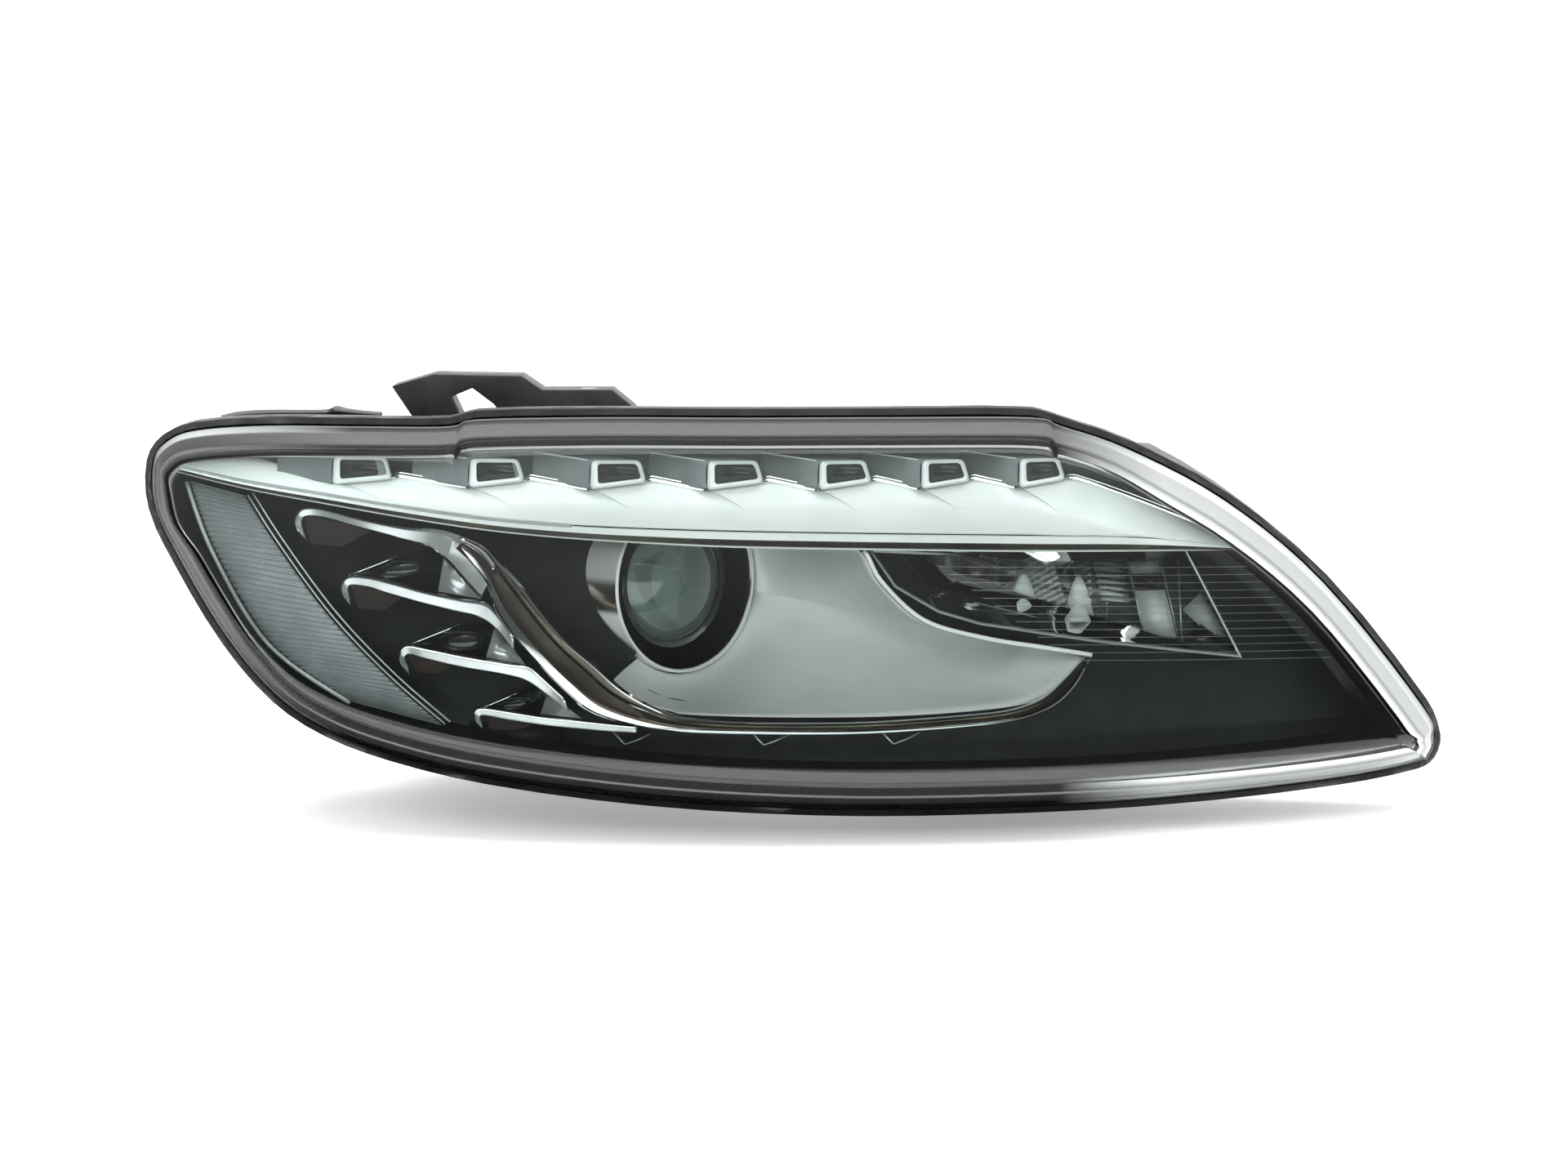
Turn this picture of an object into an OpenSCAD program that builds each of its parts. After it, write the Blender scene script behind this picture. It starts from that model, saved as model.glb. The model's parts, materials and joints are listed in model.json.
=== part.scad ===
// Car headlight assembly for the right-hand front corner of a large car.
// Millimetres, +Z up. The face of the lamp looks along -Y, and the origin is the
// centre of the top centre mounting hole. The car's straight-ahead direction is
// turned by heading about Z from -Y, so everything optical is built in a frame
// of its own: u across the car, v to the rear and w up.

/* [Face] */
// Radius of the sphere that the outer lens is part of
lens_r = 760; // [740:5:790]
// Thickness of the outer lens
lens_t = 3; // [2.5:0.1:3.5]
// Depth of the outer lens from its face to its foot
lens_depth = 42; // [40:1:44]
// Wall thickness of the housing
wall = 3; // [2.5:0.1:3.2]

/* [Projector] */
// Angle from the face's direction to straight ahead
heading = 42; // [41:0.5:43]
// Radius of the projector's glass lens
glass_r = 35; // [33:0.5:35]
// Height of the glass lens's dome
glass_dome = 16; // [13:1:16]
// Radius of the swivel pins
swivel_pin_r = 4; // [3:0.25:4.5]

/* [Daytime lights] */
// Number of daytime-light pods
pods = 7; // [7]
// Height of a pod's window
pod_h = 14; // [12:1:15]

/* [Mounting] */
// Radius of the hole that each mounting bolt passes through
bolt_r = 3.3; // [3.2:0.1:3.5]
// Length of each metal mounting sleeve
sleeve_l = 6; // [6]

/* [Hidden] */
$fn = 64;
// Radial gap of a pin that turns in a hole
run_gap = 0.05;
// Gap between still parts that touch in the real lamp
gap = 0.1;
// Centre of the outer lens's sphere
lens_centre = [-20, lens_r - 170, -232];
// Where the middle of the projector's chrome rim is
lamp_pos = [-55, -78, -84];
// Where the middle of the corner light's mouth is
corner_pos = [150, -80, -88];
// Depth behind the face at which the housing's flange starts and ends
flange_front = 38;
flange_back = 50;
// Depth behind the face at which the housing narrows from the rim to its roof and floor
step_depth = 59;
// Depth of the front of the inner bezel's back plate
plate_front = 52;

// Outline of the lamp at its flange, clockwise from the outboard top corner
rim_points = [
  [-359, -22], [-351, -10], [-333, -3], [-290, 1], [-233, 2], [-186, 3], [-170, 7],
  [-100, 9], [-27, 9], [60, 9], [137, 8], [154, 3], [191, -10], [247, -40],
  [304, -87], [364, -160], [372, -179], [369, -189], [361, -193], [314, -198],
  [200, -203], [99, -204], [18, -203], [-72, -198], [-162, -188], [-217, -177],
  [-254, -165], [-283, -148], [-312, -118], [-341, -76], [-357, -47]
];
// Rear contour of the housing seen from above
plan_points = [
  [-440, -260], [-440, 8], [-310, 20], [-275, 47], [-160, 150], [-63, 56],
  [17, 8], [119, 99], [150, 92], [235, 38], [420, -5], [420, -260]
];
// Heights of the housing's floor and roof behind the rim
floor_z = -186;
roof_z = -16;
// Window of the corner light in the black bezel
corner_window = [[44, -60], [60, -83], [84, -97], [107, -104], [171, -115], [256, -127], [221, -60]];
// Silver panel round the projector
panel_points = [
  [-100, -124], [-71, -146], [-41, -154], [52, -155], [120, -151], [150, -142],
  [169, -120], [107, -110], [76, -101], [51, -81], [40, -62], [-20, -62], [-60, -120]
];
// Side reflector at the outboard end
side_window = [
  [-336, -31], [-301, -37], [-284, -62], [-253, -101], [-220, -133],
  [-186, -160], [-238, -148], [-285, -118], [-318, -70]
];
// Daytime-light tray, above its chrome strip
tray_points = [
  [-340, -18], [-326, -12], [-178, -5.4], [-160, -2.4], [140, -2.4], [172, -13], [212, -34], [254, -60],
  [129, -57], [-27, -54], [-116, -50], [-161, -44], [-250, -30]
];
// Chrome strip under the daytime lights, as points along it with half widths
strip_path = [[-342, -22, 2], [-250, -35, 4], [-161, -51, 4], [-116, -56, 4], [-27, -59, 4], [129, -62, 4], [258, -65, 1]];
// Centre line of the turn-light trim's trunk and lower bar, with half widths
trunk_path = [
  [-156, -62, 5], [-142, -76, 8], [-122, -100, 9], [-98, -126, 8], [-72, -146, 6],
  [-30, -157, 4], [52, -158, 4], [122, -155, 4], [150, -146, 4], [168, -124, 3]
];
// Centre lines of the four prongs of the turn-light trim
prong_paths = [
  [[-272, -40, 2], [-240, -46, 4], [-196, -55, 4], [-176, -62, 6], [-158, -76, 6], [-144, -86, 5]],
  [[-244, -76, 2], [-200, -84, 4], [-176, -90, 5], [-150, -104, 6], [-130, -110, 5]],
  [[-212, -112, 2], [-180, -117, 4], [-150, -122, 5], [-126, -130, 5], [-104, -136, 4]],
  [[-168, -148, 2], [-140, -151, 4], [-108, -153, 5], [-80, -152, 4]]
];
// Lower left corners of the four turn-light windows
turn_windows_at = [[-268, -54], [-238, -90], [-206, -126], [-162, -162]];
// Centres of the daytime-light pods and the width of the first one
pod_x = [-233, -157, -91, -27, 33, 88, 142];
pod_z = -21;
pod_w = 34;
// Corner points of the upper bracket, seen from the front
bracket_points = [
  [-224, 20], [-200, 27], [-150, 26], [-138, 18], [-98, 18], [-86, 8], [-78, -2],
  [-78, -15.9], [-145, -15.9], [-166, 10], [-178, 19], [-190, 14], [-176, -15.9], [-200, -15.9]
];
bracket_y = [2, 38];
// Mounting holes: on the bracket, and in the two rear bosses
bracket_hole = [-112, 20, 15];
boss_holes = [[275, 44, -150], [-300, 44, -110]];

// Places in the projector's own frame
swivel_v = 42;
frame_v = 83;
pivot_u = -66;
pivot_v = 88;
pivot_w = 50;
rod_w = -62;
screw_u = 66;
rear_v = 240;
port_u = -5;
port_r = 45;
corner_rear_v = 154;
corner_port_r = 28;
shutter_v = 69;
shutter_w = -30;
lever_l = 13;
gear_w = -66;
gear_module = 1;
sector_teeth = 48;
pinion_teeth = 16;
bezel_v = 26;

// ---------- Helpers ----------

function unit(v) = v / norm(v);
function at(list, i) = list[(i + len(list)) % len(list)];

// A closed smooth curve through the points, each stretch in n steps.
function smooth(p, n) = [
  for (i = [0:len(p) - 1], k = [0:n - 1])
    let (a = p[i], b = at(p, i + 1), l = norm(b - a), s = k / n)
    let (ta = unit(b - at(p, i - 1)) * l, tb = unit(at(p, i + 2) - a) * l)
    a * (2 * s ^ 3 - 3 * s ^ 2 + 1) + b * (3 * s ^ 2 - 2 * s ^ 3)
    + ta * (s ^ 3 - 2 * s ^ 2 + s) + tb * (s ^ 3 - s ^ 2)
];

// Direction across a path at point i, to its left.
function across(path, i) =
  let (a = path[max(i - 1, 0)], b = path[min(i + 1, len(path) - 1)])
  let (d = unit([b.x - a.x, b.y - a.y]))
  [-d.y, d.x];

// A strip round a path whose points hold their half width as third number.
function strip(path) = concat(
  [for (i = [0:len(path) - 1]) [path[i].x, path[i].y] + across(path, i) * path[i].z],
  [for (i = [len(path) - 1:-1:0]) [path[i].x, path[i].y] - across(path, i) * path[i].z]
);

rim = smooth(rim_points, 3);

// Extrudes a front view along Y, through the whole lamp.
module through_y() {
  translate([0, 220, 0]) rotate([90, 0, 0]) linear_extrude(520) children();
}

module prism(points, grow = 0) {
  through_y() if (grow == 0) polygon(points); else offset(delta = grow) polygon(points);
}

// Solid bounded by the lens's sphere moved back by depth.
module behind(depth) {
  translate(lens_centre) sphere(r = lens_r - depth, $fn = 200);
}

// Layer between two depths behind the lens's face.
module layer(front, back) {
  difference() {
    behind(front);
    behind(back);
  }
}

// A plate that follows the lens's sphere, with a given front view.
module plate(points, front, back, grow = 0) {
  intersection() {
    prism(points, grow);
    layer(front, back);
  }
}

// A shallow tray that faces the lens and stands on the bezel's back plate.
module tray(points, front, thick, grow) {
  difference() {
    plate(points, front, plate_front - gap, grow);
    plate(points, front + thick, plate_front + 8, grow - 2.5);
  }
}

// The projector's frame, and the corner light's.
module optic() {
  translate(lamp_pos) rotate([0, 0, heading]) children();
}

module corner() {
  translate(corner_pos) rotate([0, 0, heading]) children();
}

// A cylinder along v between two stations.
module rod(r, v0, v1, u = 0, w = 0) {
  translate([u, v0, w]) rotate([-90, 0, 0]) cylinder(r = r, h = v1 - v0);
}

module tube(r_out, r_in, v0, v1, u = 0, w = 0) {
  difference() {
    rod(r_out, v0, v1, u, w);
    rod(r_in, v0 - 1, v1 + 1, u, w);
  }
}

// A box between two opposite corners.
module block(a, b) {
  translate(a) cube(b - a);
}

// Turns a profile of radius and v round the v axis.
module turned(profile) {
  rotate([-90, 0, 0]) rotate_extrude($fn = 96) polygon(profile);
}

// A spur gear round Z with straight-sided teeth; arc is the toothed part in degrees.
module gear(teeth, h, arc = 360, thin = 0.12) {
  pitch_r = teeth * gear_module / 2;
  root_r = pitch_r - 1.25 * gear_module;
  tip_r = pitch_r + gear_module;
  half = 90 / teeth;
  first = arc == 360 ? 0 : -floor(arc / 2 / (360 / teeth));
  last = arc == 360 ? teeth - 1 : -first;
  cylinder(r = root_r, h = h);
  linear_extrude(h) for (k = [first:last]) rotate(k * 360 / teeth) polygon([
    (root_r - 0.4) * [cos(half * 1.5), -sin(half * 1.5)],
    pitch_r * [cos(half * (1 - thin)), -sin(half * (1 - thin))],
    tip_r * [cos(half * 0.45), -sin(half * 0.45)],
    tip_r * [cos(half * 0.45), sin(half * 0.45)],
    pitch_r * [cos(half * (1 - thin)), sin(half * (1 - thin))],
    (root_r - 0.4) * [cos(half * 1.5), sin(half * 1.5)]
  ]);
}

// ---------- Casing ----------

// The housing's outer envelope, or its inner one for a wall of thickness t.
module envelope(t) {
  intersection() {
    prism(rim, t == 0 ? 4 : 1);
    translate([0, 0, -300]) linear_extrude(400)
      if (t == 0) polygon(plan_points); else offset(delta = -t) polygon(plan_points);
    union() {
      block([-460, -260, floor_z + t], [460, 200, roof_z - t]);
      difference() {
        block([-460, -260, -260], [460, 200, 60]);
        behind(step_depth - t);
      }
    }
  }
}

module housing() {
  color("#1c1d1f") difference() {
    union() {
      difference() {
        intersection() {
          envelope(0);
          behind(flange_front);
        }
        intersection() {
          envelope(wall);
          union() {
            prism(rim, -7);
            behind(flange_back);
          }
        }
      }
      // Boss that the pivot stud hangs from
      intersection() {
        optic() translate([pivot_u, pivot_v, 61]) cylinder(r = 9, h = 40);
        envelope(0);
        behind(plate_front + 5);
      }
      // Collars of the two service ports
      optic() tube(52, port_r + 3, rear_v - wall - 1, 252, port_u);
      optic() tube(50, port_r, 246, 252, port_u);
      corner() tube(34, corner_port_r + 3, corner_rear_v - wall - 1, 164);
      corner() tube(33, corner_port_r, 159, 164);
      mount_tab();
      for (p = boss_holes) translate([p.x, p.y, p.z]) rotate([90, 0, 0]) translate([0, 0, -5])
        cylinder(r = 10, h = 32);
      // Sockets of the two adjusters
      optic() rod(9, rear_v - wall - 1, rear_v + 8, pivot_u, rod_w);
      optic() rod(9, rear_v - wall - 1, rear_v + 8, screw_u - 2, pivot_w - 2);
      rear_ribs();
    }
    // Groove for the lens's foot
    intersection() {
      difference() {
        prism(rim, 0.5);
        prism(rim, -6);
      }
      layer(flange_front - 1, 46);
    }
    optic() rod(port_r + 3, rear_v - wall - 2, 246, port_u);
    optic() rod(port_r, 245, 253, port_u);
    corner() rod(corner_port_r + 3, corner_rear_v - wall - 2, 159);
    corner() rod(corner_port_r, 158, 165);
    // Ways in for the three lugs of each cap
    optic() for (a = [0, 120, 240]) translate([port_u, 240, 0]) rotate([0, a + 60, 0])
      block([-8, 5, port_r - 3], [8, 13, port_r + 3]);
    corner() for (a = [0, 120, 240]) rotate([0, a + 60, 0])
      block([-6, corner_rear_v + 4, corner_port_r - 3], [6, corner_rear_v + 11, corner_port_r + 3]);
    optic() rod(5 + 2 * run_gap, rear_v - 8, rear_v + 9, pivot_u, rod_w);
    optic() rod(4 + 2 * run_gap, rear_v - 8, rear_v + 9, screw_u, pivot_w);
    cylinder(r = 5 + run_gap, h = 40, center = true);
    for (p = boss_holes) translate([p.x, p.y - 7, p.z]) rotate([-90, 0, 0]) cylinder(r = 5 + run_gap, h = 20);
    socket_mouth();
    vent_place() translate([0, 0, -12]) cylinder(r = 4, h = 20);
  }
}

// Raised tab with the top centre mounting hole.
module mount_tab() {
  block([-15, -12, -3], [15, 16, 3]);
  for (x = [-15, 12]) block([x, -12, -17], [x + 3, 16, 3]);
}

// Stiffening ribs on the rear face and the roof.
module rear_ribs() {
  optic() for (u = [-70, 62]) block([u, rear_v - 1, -60], [u + 3, rear_v + 5, 30]);
  for (x = [-45, 60, 170]) intersection() {
    block([x, -9, -18], [x + 3, 140, -10]);
    translate([0, 0, -300]) linear_extrude(400) polygon(plan_points);
  }
}

// The socket's way through the rear wall.
module socket_mouth() {
  optic() block([-8, rear_v - 8, -88], [32, rear_v + 1, -68]);
}

// Place of the breather on the corner light's rear wall.
module vent_place() {
  corner() translate([62, corner_rear_v, -40]) rotate([-90, 0, 0]) children();
}

module outer_lens() {
  color([0.8, 0.9, 0.9, 0.35]) difference() {
    intersection() {
      prism(rim, -0.5);
      behind(0);
    }
    intersection() {
      prism(rim, -0.5 - lens_t);
      behind(lens_t);
    }
    behind(lens_depth);
  }
}

module lens_seal() {
  color("#101112") difference() {
    plate(rim, lens_depth + gap, 46 - gap, 0.4);
    prism(rim, -5.9);
  }
}

module top_seal_strip() {
  color("#151617") block([-322, 3, roof_z + gap], [-230, 11, 7]);
}

// ---------- Face trim ----------

module projector_hole(r) {
  optic() rod(r, -60, 60);
}

module inner_bezel() {
  color("#26282a") difference() {
    plate(rim, 14, plate_front + 3, -8);
    difference() {
      prism(rim, -10.5);
      behind(plate_front);
    }
    plate(corner_window, 20, 60, 0.3);
    plate(tray_points, 10, plate_front, 0.3);
    plate(tray_points, 50, 60, -3.5);
    projector_hole(53 + gap);
  }
}

module drl_reflector() {
  color("#d9dedd") difference() {
    tray(tray_points, 33, 3, -0.5);
    intersection() {
      projector_hole(53.5);
      behind(36.2);
    }
    for (k = [0:pods - 1]) pod_at(k) cube([pod_width(k) - 4, 60, pod_h - 4], center = true);
  }
  color("#d9dedd") for (k = [0:pods - 1]) intersection() {
    pod_at(k) difference() {
      translate([0, 18, 0]) cube([pod_width(k), 40, pod_h], center = true);
      translate([0, 18, 0]) cube([pod_width(k) - 3, 41, pod_h - 3], center = true);
    }
    behind(18);
    difference() {
      prism(rim, -14);
      behind(33);
    }
  }
}

function pod_width(k) = pod_w - 1.5 * k;

// Frame at the middle of pod k's mouth, looking out along its own -Y.
module pod_at(k) {
  x = pod_x[k];
  y = lens_centre.y - sqrt((lens_r - 22) ^ 2 - (x - lens_centre.x) ^ 2 - (pod_z - lens_centre.z) ^ 2);
  translate([x, y, pod_z]) rotate([0, 0, 14]) children();
}

module drl_pod_windows() {
  color([0.6, 0.65, 0.65, 0.6]) for (k = [0:pods - 1]) pod_at(k)
    translate([0, 2.5, 0]) cube([pod_width(k) - 4.4, 2, pod_h - 4.4], center = true);
}

module drl_leds() {
  color("#e8e2b0") for (k = [0:pods - 1]) pod_at(k)
    translate([0, 27.5, 0]) cube([8, 2, 5], center = true);
}

module drl_board() {
  color("#24523a") for (k = [0:pods - 1]) pod_at(k)
    translate([0, 29.4, 0]) cube([pod_width(k) - 6, 1.6, 9], center = true);
}

module chrome_strip() {
  color("#c9cccd") {
    plate(strip(strip_path), 15, 30 - gap);
    // Feet that reach the bezel's back plate
    for (x = [[-340, -125], [230, 252]]) intersection() {
      plate(strip(strip_path), 29, plate_front - gap);
      block([x[0], -260, -90], [x[1], 100, 0]);
    }
  }
}

module turn_trim() {
  color("#b9bcbd") intersection() {
    layer(20, plate_front - gap);
    union() {
      prism(strip(trunk_path));
      for (p = prong_paths) prism(strip(p));
    }
  }
}

module turn_windows() {
  color([0.35, 0.25, 0.2, 0.7]) for (p = turn_windows_at) intersection() {
    block([p.x, -200, p.y - 6], [p.x + 20, 0, p.y + 6]);
    layer(40, 42);
  }
}

module turn_leds() {
  color("#e2b04a") for (p = turn_windows_at) intersection() {
    block([p.x + 7, -200, p.y - 3], [p.x + 13, 0, p.y + 3]);
    layer(45, 47);
  }
}

module turn_board() {
  color("#24523a") for (p = turn_windows_at) intersection() {
    block([p.x + 1, -200, p.y - 5], [p.x + 19, 0, p.y + 5]);
    layer(47 + gap, plate_front - gap);
  }
}

module silver_panel() {
  color("#c4c9c8") difference() {
    tray(panel_points, 44, 3, -1);
    projector_hole(53 + gap);
    prism(strip(trunk_path), 0.3);
    prism(corner_window, 0.3);
  }
}

module side_reflector() {
  color([0.75, 0.8, 0.8, 0.8]) tray(side_window, 24, 6, -1);
}

module corner_reflector() {
  color("#b6b9ba") difference() {
    intersection() {
      prism(corner_window);
      difference() {
        behind(30);
        behind(86);
      }
    }
    intersection() {
      prism(corner_window, -2.5);
      difference() {
        behind(20);
        behind(83);
      }
    }
    corner() rod(11, -20, 120);
  }
  // Neck that the bulb holder twists into
  color("#b6b9ba") intersection() {
    corner() tube(14, 11, 20, 66);
    behind(84);
  }
}

module corner_bulb() {
  color([0.9, 0.9, 0.85, 0.5]) corner() {
    rod(5, 22, 60);
    translate([0, 22, 0]) sphere(r = 5);
  }
}

module corner_bulb_holder() {
  color("#2a2a2c") corner() {
    rod(11 - run_gap, 60 + gap, 67);
    rod(14, 66 + gap, 72);
    rod(10, 72, 92);
    block([-8, 90, -5], [8, 108, 5]);
  }
}

module projector_bezel() {
  color("#c9cccd") optic() turned([
    [50, 0], [53, bezel_v], [51.6, bezel_v], [48.6, 0.5], [49.2, 0]
  ]);
}

// ---------- Projector ----------

module projector_lens() {
  dome_r = (glass_r ^ 2 + glass_dome ^ 2) / (2 * glass_dome);
  color([0.7, 0.8, 0.75, 0.5]) optic() intersection() {
    rod(glass_r, -20, 15);
    translate([0, 12 - glass_dome + dome_r, 0]) sphere(r = dome_r, $fn = 128);
  }
}

module lens_clip() {
  color("#8e9193") optic() tube(37.3, 34, 9.6, 9.9);
  color("#8e9193") optic() for (a = [30, 150, 270]) rotate([0, a, 0]) block([-5, 9.6, 36.8], [5, 20, 37.3]);
}

module lens_holder() {
  color("#17181a") optic() difference() {
    union() {
      rod(36.7, 10, 20);
      rod(36.5, 20, 60);
      rod(43, 60, 64);
      translate([0, swivel_v, 0]) cylinder(r = 7, h = 106, center = true);
      translate([0, swivel_v, gear_w]) cylinder(r = swivel_pin_r, h = 61 - gear_w);
    }
    rod(32, 9, 65);
    rod(glass_r + 0.1, 9, 15.1);
    lever_slot();
  }
}

// Way for the shutter's lever through the flange.
module lever_slot() {
  block([-4.5, 61, -46], [4.5, 67, -32]);
}

module shutter_plate() {
  color("#303235") optic() difference() {
    rod(43, 64 + gap, 66);
    rod(30, 60, 70);
    lever_slot();
  }
  color("#303235") optic() intersection() {
    rod(30.5, 64 + gap, 66);
    block([-31, 60, -31], [31, 70, -24]);
  }
}

module shutter_flap() {
  color("#3a3c40") optic() {
    translate([-24, shutter_v, shutter_w]) rotate([0, 90, 0]) cylinder(r = 1.5, h = 48);
    block([-21, shutter_v - 0.6, shutter_w], [21, shutter_v + 0.6, 1]);
    block([-3, shutter_v - 0.6, shutter_w - lever_l], [3, shutter_v + 0.6, shutter_w]);
  }
}

function bowl_r(v) = 40 * sqrt(1 - ((v - 66) / 66) ^ 2);

module projector_reflector() {
  color("#9da1a4") optic() difference() {
    turned(concat(
      [for (k = [0:10]) let (v = 66.1 + k * 6.1) [bowl_r(v), v]],
      [for (k = [10:-1:0]) let (v = 66.1 + k * 6.1) [bowl_r(v) - 2, v]]
    ));
    block([-6, 60, -60], [6, 88, -20]);
    block([-26, 60, -34], [26, 74, -26]);
  }
  color("#9da1a4") optic() tube(16, 12, 126, 130);
}

module solenoid() {
  color("#2b2d30") optic() difference() {
    block([-11, 102, -55], [11, 132, -39.5]);
    rod(2 + run_gap, 101, 126, 0, shutter_w - lever_l);
  }
}

module solenoid_plunger() {
  color("#8e9193") optic() {
    rod(2, 73, 116, 0, shutter_w - lever_l);
    rod(3.2, 71, 73, 0, shutter_w - lever_l);
  }
}

module xenon_bulb() {
  color([0.9, 0.92, 0.92, 0.5]) optic() {
    rod(4.5, 91, 131);
    translate([0, 91, 0]) sphere(r = 4.5);
  }
}

module bulb_retainer() {
  color("#8e9193") optic() difference() {
    tube(20, 12.5, 130 + gap, 134);
    block([-3, 120, 12], [3, 140, 22]);
  }
}

module igniter() {
  color("#22242a") optic() {
    rod(12, 131 + gap, 136);
    rod(17, 134 + gap, 140);
    block([-18, 140, -18], [18, 172, 18]);
    block([18, 146, -8], [26, 166, 8]);
  }
}

// ---------- Aiming and swivelling ----------

module support_frame() {
  color("#2d2f33") optic() difference() {
    union() {
      block([-56, frame_v, -60], [56, frame_v + 10, 60]);
      for (w = [-60, 54]) block([-18, swivel_v - 6, w], [18, frame_v + 5, w + 6]);
      // Ears of the pivot cup
      for (u = [-57, -79]) block([u, pivot_v - 6, 44], [u + 4, pivot_v + 14, 58]);
      block([-79, pivot_v + 10, 44], [-53, pivot_v + 14, 58]);
      // Sockets for the levelling rod's ball and the aiming nut's ball
      block([-74, pivot_v - 8, -70], [-50, pivot_v + 7, -52]);
      block([52, pivot_v - 8, pivot_w - 8], [74, pivot_v + 7, pivot_w + 8]);
      // Posts for the swivel motor
      for (u = [-34, 28]) block([u, frame_v, -68], [u + 6, frame_v + 10, -59]);
    }
    block([-50, pivot_v - 9, -48], [50, frame_v + 11, 48]);
    ball_socket(pivot_u, rod_w, 3);
    ball_socket(screw_u, pivot_w, 3);
    translate([0, swivel_v, -70]) cylinder(r = swivel_pin_r + run_gap, h = 140);
    translate([-90, pivot_v, pivot_w]) rotate([0, 90, 0]) cylinder(r = 3 + run_gap, h = 38);
  }
}

// Hollow for a ball and its rod, with room for the rod to lean.
module ball_socket(u, w, rod_r) {
  translate([u, pivot_v, w]) sphere(r = 5.35);
  rod(rod_r + 0.9, pivot_v, pivot_v + 20, u, w);
}

module pivot_stud() {
  color("#8e9193") optic() translate([pivot_u, pivot_v, 40]) {
    cylinder(r = 4, h = 21 - gap);
    translate([0, 0, 18]) cylinder(r = 8, h = 3 - gap);
  }
}

module pivot_cup() {
  color("#d8d8d2") optic() translate([pivot_u, pivot_v, 0]) difference() {
    union() {
      translate([0, 0, 43]) cylinder(r = 7.5, h = 14);
      translate([-12.5, 0, pivot_w]) rotate([0, 90, 0]) cylinder(r = 3, h = 25);
    }
    translate([0, 0, 39]) cylinder(r = 4 + run_gap, h = 20);
  }
}

module swivel_motor() {
  color("#1f2023") optic() difference() {
    union() {
      block([-22, swivel_v + 12, -96], [22, swivel_v + 54, -68 - gap]);
      block([-36, frame_v, -72], [36, frame_v + 10, -68 - gap]);
    }
    translate([0, swivel_v + 32, -72]) cylinder(r = 2.5 + run_gap, h = 10);
  }
}

module swivel_pinion() {
  color("#e4e2d8") optic() translate([0, swivel_v + 32, gear_w]) {
    rotate(90 + 180 / pinion_teeth) gear(pinion_teeth, 4);
    translate([0, 0, -5.9]) cylinder(r = 2.5, h = 6);
  }
}

module swivel_sector() {
  color("#e4e2d8") optic() translate([0, swivel_v, gear_w]) difference() {
    intersection() {
      rotate(90) gear(sector_teeth, 4, 96);
      block([-26, -12, 0], [26, 26, 4]);
    }
    translate([0, 0, -1]) cylinder(r = swivel_pin_r + run_gap, h = 8);
  }
}

module level_motor() {
  color("#26282b") optic() difference() {
    union() {
      block([-80, 150, -74], [-50, 200, -46]);
      rod(11, 200, rear_v - wall - 1 - gap, pivot_u, rod_w);
      rod(9, 140, 150, pivot_u, rod_w);
    }
    rod(4 + run_gap, 139, 190, pivot_u, rod_w);
    rod(6 + run_gap, 205, rear_v, pivot_u, rod_w);
  }
}

module level_rod() {
  color("#d8d8d2") optic() {
    rod(4, pivot_v + 10, 178, pivot_u, rod_w);
    rod(3, pivot_v, pivot_v + 11, pivot_u, rod_w);
    translate([pivot_u, pivot_v, rod_w]) sphere(r = 5);
  }
}

module level_adjuster() {
  color("#e0ded2") optic() difference() {
    union() {
      rod(6, 205 + gap, 230, pivot_u, rod_w);
      rod(5, 229, 250, pivot_u, rod_w);
      rod(8, 250, 256, pivot_u, rod_w);
    }
    rod(3.5, 251, 257, pivot_u, rod_w, $fn = 6);
  }
}

module aim_screw() {
  color("#a9acae") optic() difference() {
    union() {
      rod(4, pivot_v + 24, 250, screw_u, pivot_w);
      rod(7, 250, 256, screw_u, pivot_w);
    }
    rod(3.5, 251, 257, screw_u, pivot_w, $fn = 6);
  }
}

module aim_nut() {
  color("#d8d8d2") optic() {
    translate([screw_u, pivot_v, pivot_w]) sphere(r = 5);
    rod(3, pivot_v, pivot_v + 14, screw_u, pivot_w);
    rod(6.5, pivot_v + 13, pivot_v + 18, screw_u, pivot_w);
    tube(6.5, 4 + run_gap, pivot_v + 18, pivot_v + 36, screw_u, pivot_w);
  }
}

// ---------- Rear fittings ----------

// A bayonet cap on a port: disc, plug, three lugs and a grip.
module cap(r, mouth, back) {
  difference() {
    union() {
      rod(r + 9, mouth + 1.6, mouth + 6);
      rod(r - 0.5, back, mouth + 2);
      for (a = [0, 120, 240]) rotate([0, a, 0]) intersection() {
        rod(r + 2.5, back, back + 4);
        block([-r / 7, back, 0], [r / 7, back + 4, r + 3]);
      }
      block([-r * 0.85, mouth + 5, -4], [r * 0.85, mouth + 14, 4]);
    }
    rod(r - 3.5, back - 1, mouth + 2.5);
  }
}

module bulb_cap() {
  color("#222326") optic() translate([port_u, 0, 0]) cap(port_r, 252, 241);
}

module bulb_cap_seal() {
  color("#0f0f10") optic() tube(51, port_r + 0.2, 252 + gap, 253.5, port_u);
}

module corner_cap() {
  color("#222326") corner() cap(corner_port_r, 164, 154);
}

module corner_cap_seal() {
  color("#0f0f10") corner() tube(33, corner_port_r + 0.2, 164 + gap, 165.5);
}

module ballast() {
  color("#b4b7b8") corner() difference() {
    union() {
      block([0, 60, -124], [90, 134, -100.1]);
      for (u = [-6, 90]) for (v = [68, 116]) block([u, v, -104], [u + 6, v + 10, -100.1]);
      block([25, 134, -120], [65, 145, -104]);
    }
    for (u = [6:12:84]) block([u, 66, -125], [u + 5, 128, -120]);
    block([28, 136, -117], [62, 146, -107]);
  }
}

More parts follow.
